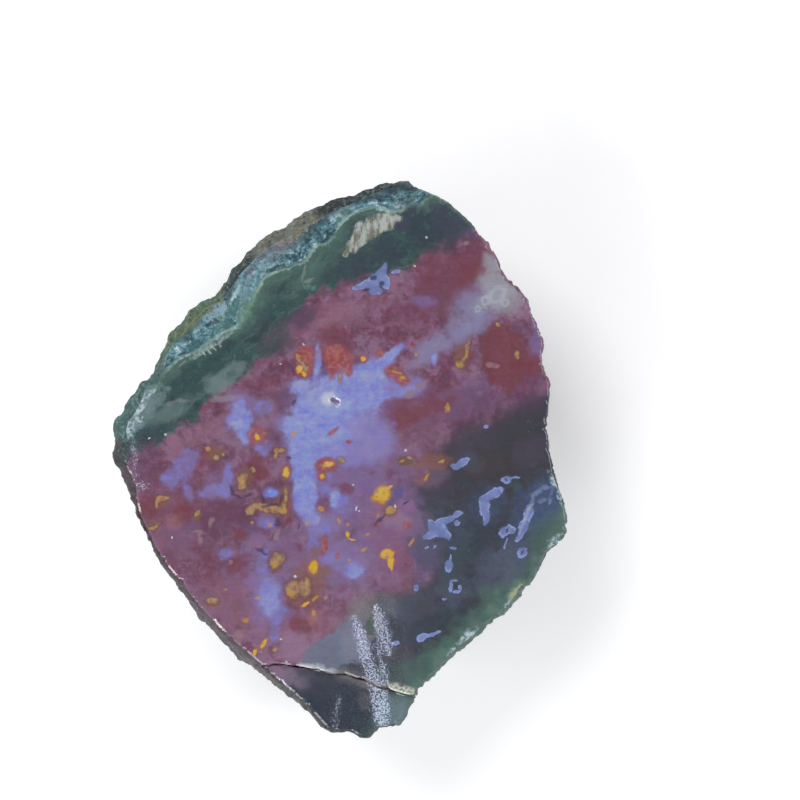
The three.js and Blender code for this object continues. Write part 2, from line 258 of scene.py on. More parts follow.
# The pale veil at the upper right.
VEILS = [
    Cloud("veil_blue", 0.7, 450, 334, 40, 12, 38, 0.6), Cloud("veil_blue", 0.75, 474, 308, 26, 18, 42, 0.6),
    Cloud("veil_blue", 0.3, 436, 348, 18, 9, 40), Cloud("veil", 0.85, 500, 286, 24, 16, 118, 0.5),
    Cloud("veil", 0.7, 493, 266, 13, 7, 118, 0.5), Cloud("veil", 0.75, 514, 296, 16, 10, 118, 0.5),
    Cloud("veil", 0.7, 489, 301, 16, 9, 30, 0.5), Cloud("mauve", 0.5, 520, 306, 8, 9, 40, 0.5),
    Cloud("violet", 0.7, 424, 300, 12, 6, -5), Cloud("veil_blue", 0.6, 468, 326, 14, 10, 40, 0.6),
]

# The white glow round the small vug.
GLOWS = [
    Cloud("wisp_line", 0.5, 335, 404, 15, 12), Cloud("glow", 0.8, 330, 399, 7, 6.4, -20, 0.6),
    Cloud("blue_heart", 0.9, 271, 493, 6, 3.4, 0, 0.5),
    Cloud("wisp_line", 0.5, 269, 491.6, 2.4, 1.2, 0, 0.5),
]

# Lavender mist round the star and in the violet.
MISTS = [
    Cloud("lavender_mist", 0.8, 370, 434, 20, 22, 0, 0.6),
    Cloud("lavender_mist", 0.6, 350, 452, 24, 14, 0, 0.6),
    Cloud("lavender_mist", 0.5, 404, 387, 20, 10, 4, 0.6),
    Cloud("lavender_mist", 0.4, 320, 520, 16, 14, 0, 0.6),
    Cloud("lavender_mist", 0.4, 240, 404, 12, 12, 20, 0.6),
    Cloud("lavender_mist", 0.4, 262, 600, 16, 24, 0, 0.6),
    Cloud("lavender_mist", 0.35, 345, 560, 24, 20, 0, 0.6),
    Cloud("lavender_mist", 0.3, 222, 484, 18, 12, 20, 0.6),
]

# Lavender chalcedony: the star with its arms, the column under it and the bright glows.
LAVENDER = [
    Spot(342, 396, 40, 25, 5), Spot(309, 413, 12, 17), Spot(297, 426, 15, 8, -8), Spot(326, 430, 36, 21),
    Spot(299, 386, 9, 6, 20), Spot(371, 386, 15, 15), Spot(396, 390, 21, 6.4, 4), Spot(371, 371, 15, 9, 40),
    Spot(388, 358, 19, 5, 41), Spot(317, 360, 3.6, 14, -4), Spot(355, 376, 16, 9), Spot(316, 450, 26, 14),
    Spot(304, 474, 12, 24), Spot(305, 500, 11, 18), Spot(335, 499, 6, 9), Spot(312, 520, 7, 7),
    Spot(239, 420, 12, 10, 20), Spot(246, 435, 6, 8, -10), Spot(353, 570, 10, 9), Spot(269, 597, 11, 17),
    Spot(434, 358, 3.2, 6, -10), Spot(240, 404, 7, 5, 40),
]

# Softer violet patches.
VIOLETS = [
    Spot(371, 438, 22, 22), Spot(350, 452, 22, 12), Spot(318, 527, 16, 9), Spot(343, 505, 10, 10),
    Spot(262, 563, 7, 13), Spot(274, 628, 6, 12, -10), Spot(313, 548, 6, 13), Spot(336, 562, 14, 8, -10),
    Spot(263, 447, 8, 8, 40), Spot(178, 472, 10, 17, -32), Spot(190, 457, 9, 9), Spot(168, 478, 7, 6),
    Spot(228, 477, 5, 15, -6), Spot(213, 492, 15, 6.5, 8), Spot(188, 493, 4, 9, 10), Spot(267, 520, 9, 8),
    Spot(226, 555, 7, 5, 35), Spot(407, 385, 16, 10), Spot(279, 612, 13, 9, -20), Spot(324, 482, 9, 12),
    Spot(262, 408, 10, 8, 20), Spot(271, 493, 8, 5.6),
]

# Blue wisps in the dark zones.
WISPS = [
    Spot(438, 529, 8.4, 7), Spot(429, 535, 7.6, 3.4, 35), Spot(431, 524, 5.6, 3, -48),
    Spot(446, 520, 8.6, 3, 22), Spot(446, 535, 5.4, 3.4, -35), Spot(458, 513, 4.2, 3, 20),
    Spot(456, 523, 2.6, 2.6), Spot(494, 493, 9.4, 4, 25), Spot(484, 501, 5.2, 5.4),
    Spot(485, 510, 4.6, 9, 3), Spot(486, 519, 2.4, 5.4), Spot(506, 480, 5, 2.8, 4),
    Spot(514, 478, 5.4, 1, 8), Spot(455, 466, 4.2, 3.4, -20), Spot(463, 462, 6.4, 3, 24),
    Spot(503, 533, 4, 4.8, -10), Spot(510, 530, 4.6, 4.6, 20), Spot(505, 544, 1.1, 5.6, -12),
    Spot(529, 512, 4.8, 7.4, -20), Spot(524, 525, 4.2, 8.4, -25), Spot(519, 536, 2.6, 6.4, -30),
    Spot(522, 553, 4.2, 5.8, -20), Spot(449, 566, 4, 6.2, 5), Spot(450, 560, 1.2, 6),
    Spot(450, 586, 1.8, 6, -8), Spot(455, 592, 4, 1.4), Spot(460, 588, 1.4, 3),
    Spot(455, 580, 2.6, 1.2, 10), Spot(416, 588, 2.6, 2.6), Spot(422, 637, 5.6, 4.2, 20),
    Spot(434, 634, 6.4, 2, 15), Spot(395, 643, 4.4, 2.4, 12), Spot(445, 599, 2.2, 1.2, 20),
    Spot(366, 284, 6.6, 3, 10), Spot(376, 280, 8, 6, 30), Spot(382, 272, 4, 8.4, -12),
    Spot(386, 282, 3.4, 6.4), Spot(376, 291, 5.4, 3.6), Spot(357, 287, 5, 2, 15),
    Spot(396, 272, 4.6, 1.5, 5), Spot(486, 428, 2.2, 1.6, 10), Spot(426, 547, 1.8, 1.3),
    Spot(435, 547, 2, 1.3), Spot(453, 548, 2.8, 1.6, -10),
]

# Dark eyes in the wisps.
WISP_EYES = [
    Spot(374, 277, 3.2, 2.4, 20), Spot(382, 283, 3.4, 2.8), Spot(368, 288, 3, 1.8, 20),
    Spot(456, 586, 2.6, 3.4, 10), Spot(507, 531, 1, 3.4, -20), Spot(506, 480, 1.5, 1.2),
    Spot(522, 553, 1.2, 3, -24),
]

# Red jasper patches over the lavender.
REDS = [
    Spot(305, 355, 9.6, 8.6), Spot(304, 367, 8.2, 9.4, -6), Spot(335, 353, 12.6, 8.6),
    Spot(339, 362, 12.6, 9.6), Spot(332, 373, 3.6, 5.4), Spot(348, 369, 3.6, 6.2, 10),
    Spot(392, 371, 8, 5.4, -10), Spot(402, 379, 8.4, 5.8, -34), Spot(380, 353, 3.2, 3.4),
    Spot(412, 344, 2.6, 2.4), Spot(363, 359, 4.6, 4.2), Spot(257, 435, 8.6, 8), Spot(326, 465, 9, 6.2, 8),
    Spot(322, 477, 4.4, 4.6), Spot(333, 432, 7, 1.7, 36), Spot(348, 442, 3, 1.7, -10),
    Spot(406, 526, 3.6, 4), Spot(324, 545, 3, 9, -8), Spot(338, 556, 2.2, 2.4),
]

# Soft brick-red patches.
BRICKS = [
    Spot(333, 334, 16, 11), Spot(516, 358, 18, 14, 10), Spot(535, 366, 12, 10), Spot(393, 416, 12, 18, -24),
    Spot(415, 414, 19, 8, 20), Spot(440, 405, 18, 7, 25), Spot(466, 360, 7, 12, -30),
    Spot(470, 276, 20, 14, 30), Spot(205, 455, 14, 10, 30), Spot(292, 505, 5, 17), Spot(258, 471, 12, 14),
    Spot(150, 507, 12, 14, -30), Spot(182, 512, 16, 12), Spot(346, 490, 8, 8), Spot(240, 536, 9, 8),
    Spot(238, 566, 14, 12), Spot(322, 508, 8, 6, -10), Spot(300, 625, 14, 8, -20),
]

# Brown halos round the gold spots.
BROWNS = [
    Spot(308, 580, 18, 19, -8), Spot(300, 596, 18, 11), Spot(326, 570, 8, 6, 35), Spot(314, 552, 6, 9, -10),
    Spot(268, 508, 19, 8, -8), Spot(284, 500, 7, 17, -4), Spot(424, 478, 8, 5, 50),
    Spot(276, 561, 8.6, 11.6, -24), Spot(244, 480, 9, 13, -12), Spot(280, 451, 9, 5, 8),
    Spot(326, 465, 12, 7, 8), Spot(213, 454, 10, 8, 20), Spot(163, 501, 11, 7, 24),
    Spot(155, 526, 9, 5, 30), Spot(197, 514, 8, 5, 38), Spot(302, 364, 8, 11, 20),
    Spot(462, 358, 8, 13, -20), Spot(213, 602, 9, 6), Spot(286, 472, 6, 8, -14), Spot(391, 511, 8, 8),
]

# Dull gold and ochre spots.
GOLDS = [
    Spot(293, 589, 7, 9), Spot(306, 587, 6, 9.6), Spot(276, 561, 6.6, 9.6, -24), Spot(251, 510, 6, 4.4, 48),
    Spot(262, 506, 9, 4, -8), Spot(276, 510, 9, 4, -6), Spot(286, 494, 2, 8, 8), Spot(284, 507, 3, 6, -14),
    Spot(243, 481, 5, 8.6, -12), Spot(253, 469, 2.8, 3.6, 20), Spot(279, 451, 6.6, 2.6, 8),
    Spot(275, 455, 2, 4), Spot(301, 362, 2.2, 9, 28), Spot(305, 371, 2, 6, -30), Spot(298, 357, 4, 2.2, 30),
    Spot(163, 498, 7, 3, 10), Spot(157, 504, 2, 4.6, -15), Spot(197, 513, 4.6, 2.4, 38),
    Spot(208, 450, 3.2, 3.2), Spot(216, 458, 4, 2.8, 30), Spot(154, 527, 6.6, 2.4, 30),
    Spot(391, 511, 4.6, 4.4), Spot(517, 354, 2.4, 4.6), Spot(467, 350, 2.4, 11, -16), Spot(461, 364, 5, 5),
    Spot(498, 324, 3.6, 3), Spot(447, 408, 3, 5, -18), Spot(428, 476, 1.6, 4.4, -34),
    Spot(441, 461, 3, 1.4, 10), Spot(213, 601, 6.4, 4), Spot(340, 460, 4, 3.4), Spot(396, 372, 7, 1.4, -18),
    Spot(404, 378, 4.6, 1.4, -50), Spot(340, 377, 2, 4.4, 8),
]

# Bright yellow eyes.
YELLOWS = [
    Spot(382, 494, 9.4, 7.4, 42), Spot(391, 487, 3, 1.6, 35), Spot(387, 554, 6.6, 4.4, 10),
    Spot(391, 562, 3.4, 6.4, 12), Spot(392, 569, 1.4, 3, 10), Spot(299, 369, 3.2, 4.8, -20),
    Spot(304, 375, 3, 1.6, -30), Spot(313, 567, 4.2, 7.2), Spot(328, 465, 5, 2.6, 12),
    Spot(322, 477, 2.6, 2.8, -30), Spot(286, 472, 3, 4.4, -14), Spot(257, 437, 2.4, 3.4),
    Spot(363, 359, 2.4, 2.4), Spot(264, 643, 5.8, 2.2, 46), Spot(255, 652, 1.6, 4, -6),
    Spot(348, 535, 1.7, 4.2, 16), Spot(353, 540, 3, 1.1, -20), Spot(305, 604, 4.4, 1.5, 36),
]

# Small fuzzy yellow and ochre specks.
SPECKS = [
    Spot(315, 598, 3.4, 1.6, 36), Spot(294, 434, 2.8, 2.2, 20), Spot(395, 372, 3.4, 1.2, -20),
    Spot(403, 378, 2.2, 1.6, -20), Spot(262, 652, 1.2, 1.2), Spot(274, 650, 2.8, 1.8, 14),
    Spot(245, 620, 3, 2.2, 10), Spot(257, 598, 1.8, 1.4, 20), Spot(285, 510, 2, 3),
    Spot(252, 522, 1.6, 1.6), Spot(270, 525, 1.4, 1.4), Spot(307, 523, 2.4, 2.6),
    Spot(321, 509, 3.2, 2, -10), Spot(347, 524, 1.4, 1.4), Spot(364, 550, 3, 1.2, 46),
    Spot(350, 560, 1.6, 1.5), Spot(325, 597, 1.8, 1.6), Spot(313, 613, 2.2, 3), Spot(290, 592, 2.4, 3),
    Spot(307, 582, 2.4, 4, 8), Spot(275, 565, 2.6, 3.2), Spot(448, 409, 1.6, 2.6),
    Spot(458, 365, 2, 2.6, -14), Spot(427, 478, 1.4, 3.4, -30), Spot(441, 462, 1.4, 1, 10),
    Spot(412, 541, 1.6, 4.2, -26), Spot(390, 510, 2.4, 2.2), Spot(377, 516, 1.2, 2.4, -10),
    Spot(160, 497, 3.4, 1.6, 10), Spot(207, 449, 2, 2), Spot(224, 454, 1.6, 1.6),
    Spot(243, 482, 1.6, 3.4, -10), Spot(402, 461, 2.6, 1.4, 20), Spot(409, 458, 1.8, 1.4),
    Spot(366, 535, 2, 1.2, 30), Spot(338, 521, 1.4, 2), Spot(226, 590, 1.6, 1.2), Spot(416, 355, 1.8, 1.6),
]

# Pale crusty patch near the rind.
BEIGES = [
    Spot(374, 226, 20, 8, 14), Spot(388, 220, 12, 7, 6), Spot(360, 240, 10, 6, 32),
    Spot(352, 247, 7, 5, 40), Spot(366, 234, 14, 6, 22), Spot(347, 253, 4, 3, 30),
]

# Muted pale smudges.
SMUDGES = [
    Spot(199, 532, 7.6, 1.8, -4), Spot(200, 539, 2.2, 6.6), Spot(212, 522, 2.2, 5),
    Spot(229, 563, 2.4, 1.8, -30), Spot(335, 348, 4.6, 3, 20), Spot(392, 390, 3, 2.4),
    Spot(410, 394, 5, 4, 40), Spot(422, 386, 7, 3, 40), Spot(238, 635, 4, 4.4), Spot(239, 644, 1.6, 2.4),
    Spot(277, 535, 2.6, 4.2, -22), Spot(466, 243, 3, 2, 30), Spot(489, 364, 5, 2.6, -15),
    Spot(497, 366, 3, 2, 20),
]

# Dark olive eye.
OLIVES = [
    Spot(372, 624, 5.8, 9.8, -8), Spot(367, 630, 4.6, 4, 20),
]

# Dark spots, rings and short cracks.
DARKS = [
    Spot(278, 523, 3.6, 3.2), Spot(260, 550, 4.6, 1.8, -32), Spot(265, 554, 3, 1, -10),
    Spot(232, 490, 1.6, 6, 16), Spot(238, 496, 5, 1.6, -20), Spot(248, 495, 4, 1.6, 30),
    Spot(381, 519, 1.2, 7.6, -48), Spot(289, 457, 2.2, 2), Spot(437, 540, 4, 1.4),
    Spot(294, 402, 2.8, 1.6, 40), Spot(407, 503, 4, 1, 30), Spot(299, 526, 1.2, 2.2),
    Spot(271, 505, 9, 1.6, 6), Spot(262, 499, 1.6, 4, 20), Spot(282, 499, 1.4, 4, -20),
]

# Tiny white grains, and one painted glint.
DOTS = [
    Spot(426, 237, 1.1, 1.3), Spot(414, 266, 1, 1.2), Spot(295, 576, 1.2, 1.2), Spot(395, 507, 1.1, 1.8),
    Spot(302, 344, 0.9, 0.9), Spot(357, 508, 1, 2), Spot(360, 511, 0.9, 0.9), Spot(281, 639, 1, 1),
    Spot(287, 661, 1.3, 1.1), Spot(172, 538, 0.8, 0.9), Spot(166, 435, 1.3, 1.1),
    # The dot at (375, 607), at the top of the right streak, is a painted glint.
    Spot(149, 438, 1.6, 1, 30), Spot(366, 632, 1.4, 1, -20), Spot(375, 607, 1.4, 1.2, -20),
    Spot(353, 485, 0.8, 1.2), Spot(406, 450, 1.6, 1.2), Spot(281, 363, 0.8, 0.8),
]

# Ragged whitish crust on the edges.
CRUSTS = [
    Spot(555, 544, 10, 5, 36), Spot(552, 480, 2.4, 8, 14), Spot(558, 494, 1.6, 8, 16),
    Spot(133, 420, 9, 3.6, 10), Spot(128, 432, 5, 6, -15), Spot(139, 409, 7, 2.6, 40),
    Spot(148, 396, 8, 1.8, 45), Spot(526, 590, 9, 4.4, 47), Spot(511, 606, 9, 4, 47),
    Spot(470, 636, 10, 4.6, 42), Spot(456, 651, 9, 4, 50), Spot(439, 674, 6, 2, 50),
    Spot(427, 686, 6, 2.2, 40),
]

# Touches over the spots.
TOUCHES = [
    Cloud("olive_brown", 0.8, 405, 460, 8, 5.4, -8, 0.25),
    Cloud("deep_violet", 0.7, 396, 494, 10, 6, 40, 0.35),
    Cloud("deep_violet", 0.6, 390, 503, 5, 3, 40, 0.35),
    Cloud("slate_violet", 0.85, 402, 225, 9, 6, 40, 0.3),
    Cloud("lilac_grey", 0.35, 390, 605, 11, 7, -60, 0.6),
    Cloud("veil_bright", 0.5, 528, 512, 1.4, 9, -24, 0.5),
    Cloud("veil_bright", 0.35, 521, 528, 1.2, 8, -28, 0.5),
    Cloud("wisp_grey", 0.8, 537, 493, 6, 2.2, 28, 0.4), Cloud("wisp_grey", 0.7, 546, 487, 7, 2, 12, 0.4),
    Cloud("wisp_grey", 0.7, 551, 496, 1.8, 8, -14, 0.4), Cloud("wisp_grey", 0.6, 541, 500, 6, 1.8, 10, 0.4),
    Cloud("wisp_grey", 0.6, 532, 499, 1.6, 6, -26, 0.4), Cloud("deep_blue", 0.8, 553, 497, 4, 3, -20, 0.3),
    Cloud("white", 0.45, 204, 354, 1, 3.4, 30, 0.4), Cloud("white", 0.4, 209, 351, 1, 3.2, 30, 0.4),
    Cloud("white", 0.4, 214, 348, 1, 3, 34, 0.4), Cloud("white", 0.3, 219, 345, 1, 2.6, 34, 0.4),
    Cloud("beige", 0.35, 304, 273, 1.4, 9, -14, 0.4), Cloud("beige", 0.3, 309, 280, 6, 1.4, 26, 0.4),
    Cloud("crack_edge", 0.55, 517, 592, 10, 5, 44, 0.5), Cloud("crack_edge", 0.35, 428, 682, 8, 3, 40, 0.4),
    Cloud("salmon", 0.35, 174, 522, 8, 7, 0, 0.6), Cloud("salmon", 0.5, 335, 353, 6, 5, 0, 0.5),
    Cloud("maroon", 0.6, 335, 339, 14, 7, 0, 0.6), Cloud("umber_ring", 0.5, 283, 665, 16, 1.2, -2, 0.3),
    Cloud("veil", 0.3, 176, 402, 14, 2, 8, 0.5), Cloud("veil", 0.3, 224, 398, 16, 3, 6, 0.5),
]

# Pale lobes of the veil, with a bright line round them.
VEIL_LOBES = [
    Spot(486, 301, 4, 3.6), Spot(497, 294, 8, 6, 40), Spot(505, 303, 4, 3, 20), Spot(477, 309, 3, 2.4, 40),
]

# Where the polish is worn, so that the streaks look peppered.
WORN = [
    Spot(376, 668, 22, 70), Spot(338, 712, 10, 24), Spot(136, 458, 12, 40),
]

VUG = Spot(335, 400, 9, 8)  # the small open hollow in the lavender


def srgb(red, green, blue):
    """A colour as it looks on a screen, 0 to 255, in the linear numbers that Blender mixes."""
    def linear(value):
        share = value / 255
        return share / 12.92 if share <= 0.04045 else ((share + 0.055) / 1.055) ** 2.4
    return (linear(red), linear(green), linear(blue))


def colour(name, description, red, green, blue):
    return FloatVectorProperty(
        name=name, description=description, subtype="COLOR", min=0, max=1, default=srgb(red, green, blue)
    )


def length(name, description, default):
    return FloatProperty(name=name, description=description, default=default, unit="LENGTH")


class AgateColours(bpy.types.PropertyGroup):
    """The colours of the stone."""

    plum: colour("Plum", "Ground colour of the middle of the stone", 118, 80, 104)
    dusk: colour("Dusk", "Pale mauve clouds in the plum", 128, 98, 124)
    maroon: colour("Maroon", "Warm clouds in the plum", 110, 64, 84)
    dark_plum: colour("Dark plum", "Dark clouds in the plum", 92, 62, 90)
    rose: colour("Rose", "Pink clouds in the plum", 136, 94, 114)
    mauve: colour("Mauve", "Pale pink clouds", 142, 112, 138)
    magenta: colour("Magenta", "Deep pink clouds", 128, 76, 108)
    violet: colour("Violet", "Mist round the lavender", 118, 98, 146)
    violet_blue: colour("Violet blue", "Soft patches between violet and lavender", 118, 108, 168)
    lavender: colour("Lavender", "Heart of the lavender chalcedony", 126, 136, 198)
    lavender_deep: colour("Deep lavender", "Darker streaks in the lavender", 118, 124, 190)
    lavender_grey: colour("Grey lavender", "Greyer streaks in the lavender", 140, 146, 190)
    lavender_mist: colour("Lavender mist", "Mist between lavender and violet", 130, 120, 176)
    deep_violet: colour("Deep violet", "Dark violet network", 84, 80, 134)
    blue_heart: colour("Blue heart", "Vivid blue eye", 98, 116, 206)
    glow: colour("Glow", "White glow round the small vug", 192, 194, 204)
    # Painted light: the vug's wall is given a colour far paler than the stone, to lift the shade inside the
    # pit.
    vug: colour("Vug", "Wall of the small vug", 200, 194, 222)
    brick: colour("Brick", "Soft red patches", 114, 60, 70)
    brick_bright: colour("Bright brick", "Edges of the red jasper", 138, 70, 76)
    red: colour("Jasper red", "Red patches over the lavender", 152, 80, 74)
    salmon: colour("Salmon", "Pale grains in the red", 162, 104, 100)
    brown: colour("Brown", "Brown halos round the gold spots", 128, 86, 74)
    olive_brown: colour("Olive brown", "Dull spot with gold grains", 104, 84, 66)
    umber_ring: colour("Ring brown", "Dark rings of the gold spots", 88, 60, 66)
    ochre: colour("Ochre", "Dull gold spots", 148, 115, 86)
    gold: colour("Gold", "Bright grains in the gold spots", 170, 138, 96)
    orange: colour("Orange", "Rings of the yellow eyes", 160, 104, 62)
    yellow: colour("Yellow", "Hearts of the yellow eyes", 200, 160, 46)
    beige: colour("Beige", "Pale crusty patch near the rind", 148, 156, 148)
    beige_pale: colour("Pale beige", "Palest streaks of the patch", 174, 178, 172)
    olive_gold: colour("Olive gold", "Lower edge of the patch", 112, 112, 78)
    smudge: colour("Smudge", "Muted pale smudges", 142, 114, 120)
    ash: colour("Ash", "Greyish-brown haze", 122, 116, 118)
    crack_edge: colour("Crack edge", "Yellowish chips along the crack", 186, 186, 150)
    crack_cream: colour("Crack cream", "Whitish chips along the crack", 176, 178, 186)
    fuzz: colour("Fuzz", "Small fuzzy ochre specks", 176, 132, 66)
    olive: colour("Olive", "Olive spots", 78, 88, 84)
    dark_spot: colour("Dark spot", "Dark spots and short cracks", 70, 56, 84)
    veil: colour("Veil", "Whitish veil at the upper right", 148, 148, 158)
    veil_bright: colour("Veil threads", "Bright threads of the veil", 166, 170, 184)
    veil_blue: colour("Blue veil", "Greyish-blue part of the veil", 128, 126, 162)
    slate: colour("Slate", "Ground colour of the dark zone", 62, 68, 80)
    umber: colour("Umber", "Warm clouds in the dark zone", 62, 59, 65)
    green_slate: colour("Green slate", "Green clouds in the dark zone", 62, 78, 82)
    blue_slate: colour("Blue slate", "Cool clouds in the dark zone", 80, 88, 108)
    slate_patch: colour("Slate patch", "Grey-blue patch above the crack", 104, 110, 130)
    corner_grey: colour("Corner grey", "Purplish grey of the cracked corner", 84, 82, 100)
    corner_light: colour("Light corner", "Palest part of the cracked corner", 122, 110, 130)
    purple_slate: colour("Purple slate", "Purple mist in the dark zone", 76, 68, 86)
    brown_slate: colour("Brown slate", "Brown mist in the dark zone", 74, 64, 66)
    slate_violet: colour("Violet slate", "Dark violet spot by the pale patch", 66, 68, 86)
    deep_blue: colour("Deep blue", "Blue shade under the wisps", 68, 84, 118)
    night: colour("Night", "Darkest clouds", 52, 62, 74)
    wisp: colour("Wisp", "Body of the blue wisps", 98, 110, 164)
    wisp_edge: colour("Wisp edge", "Pale clouds in the wisps", 116, 128, 176)
    wisp_grey: colour("Grey wisp", "Greyish-blue network by the rim", 112, 126, 160)
    wisp_line: colour("Wisp line", "Bright edge of the wisps", 142, 156, 200)
    dark_green: colour("Dark green", "Ground colour of the zone inside the rind", 62, 84, 84)
    deep_green: colour("Deep green", "Deep green clouds", 48, 74, 74)
    moss: colour("Moss", "Light green clouds inside the rind", 84, 112, 102)
    grey_green: colour("Grey green", "Pale patches inside the rind", 106, 126, 126)
    rim_green: colour("Rim green", "Green zone at the lower right", 72, 96, 91)
    rim_light: colour("Rim light", "Outermost green at the lower right", 88, 114, 104)
    teal: colour("Teal", "Fibrous band of the rind", 66, 108, 116)
    teal_bright: colour("Bright teal", "Bright fibres of the band", 92, 134, 144)
    teal_dark: colour("Dark teal", "Dark lines in the fibrous band", 46, 84, 92)
    teal_deep: colour("Deep teal", "Darkest lines in the fibrous band", 34, 56, 66)
    teal_pale: colour("Pale teal", "Pale fibres", 138, 170, 182)
    teal_glass: colour("Glassy teal", "Clear pockets in the band", 40, 96, 96)
    glass_green: colour("Glassy green", "Yellowish-green haze in the band", 96, 134, 112)
    crust_olive: colour("Olive crust", "Olive strip of the band's outer side", 98, 108, 70)
    lilac_grey: colour("Lilac grey", "Greyish fragments in the band", 120, 120, 136)
    crust_grey: colour("Crust grey", "Grey crust inside the band", 128, 146, 152)
    teal_grey: colour("Grey teal", "Tip of the cracked corner", 108, 127, 137)
    pale_line: colour("Pale line", "Thin line inside the band", 140, 166, 152)
    white: colour("White", "Whitest fibres and crust", 200, 208, 212)
    rind_brown: colour("Brown rind", "Weathered brown skin", 108, 106, 93)
    rind_green: colour("Green rind", "Weathered green skin", 84, 104, 76)
    # Dark rind darkens stretches and dirty patches of the skin, and is also painted shade in its pits.
    rind_dark: colour("Dark rind", "Pits and shade of the skin", 38, 44, 44)
    rind_teal: colour("Teal rind", "Teal skin at the left", 62, 96, 94)


class AgateStoneSettings(bpy.types.PropertyGroup):
    """The shape of the stone's surface."""

    cuts: IntProperty(
        name="Cuts", description="How finely each facet of the solid is divided", default=4, min=0, max=6
    )
    smoothing: IntProperty(
        name="Smoothing", description="Rounds of smoothing before the skin is roughened", default=8, min=0
    )
    rind_height: length("Rind height", "Height of the lumps of the weathered skin", 0.7 * MM)
    break_height: length("Break height", "Height of the steps on the broken sides", 0.45 * MM)
    bevel: length("Bevel", "Width of the sloping edge round the face", 0.2 * MM)
    chip_depth: length("Chip depth", "How far chips reach in from the edge of the sawn face", 0.8 * MM)
    belly: length("Belly", "How far the lower left side swells out below the face", 0.4 * MM)


class AgateStageSettings(bpy.types.PropertyGroup):
    """The floor, the lights and the camera."""

    floor_colour: colour("Floor", "Colour of the floor", 247, 247, 248)
    floor_glow: FloatProperty(name="Floor glow", description="Light that the floor gives off", default=0.2)
    floor_size: length("Floor size", "Side of the floor", 4)
    camera_height: length("Camera height", "Height of the camera over the sawn face", 0.4)
    frame_width: length("Frame width", "Width of the picture at the sawn face", 0.176)
    frame_x: length("Frame x", "X of the picture's middle", 0.0134)
    frame_y: length("Frame y", "Y of the picture's middle", 0.0130)


def on_face(px, py):
    """A pixel of the photograph as x and y on the sawn face, mm."""
    return (px - MIDDLE_X) * PIXEL, (MIDDLE_Y - py) * PIXEL


def in_bands(x, y):
    """How far along the bands, and across them towards the rind, a place lies, in its own unit."""
    turn = math.radians(BAND_TURN)
    return x * math.cos(turn) + y * math.sin(turn), y * math.cos(turn) - x * math.sin(turn)


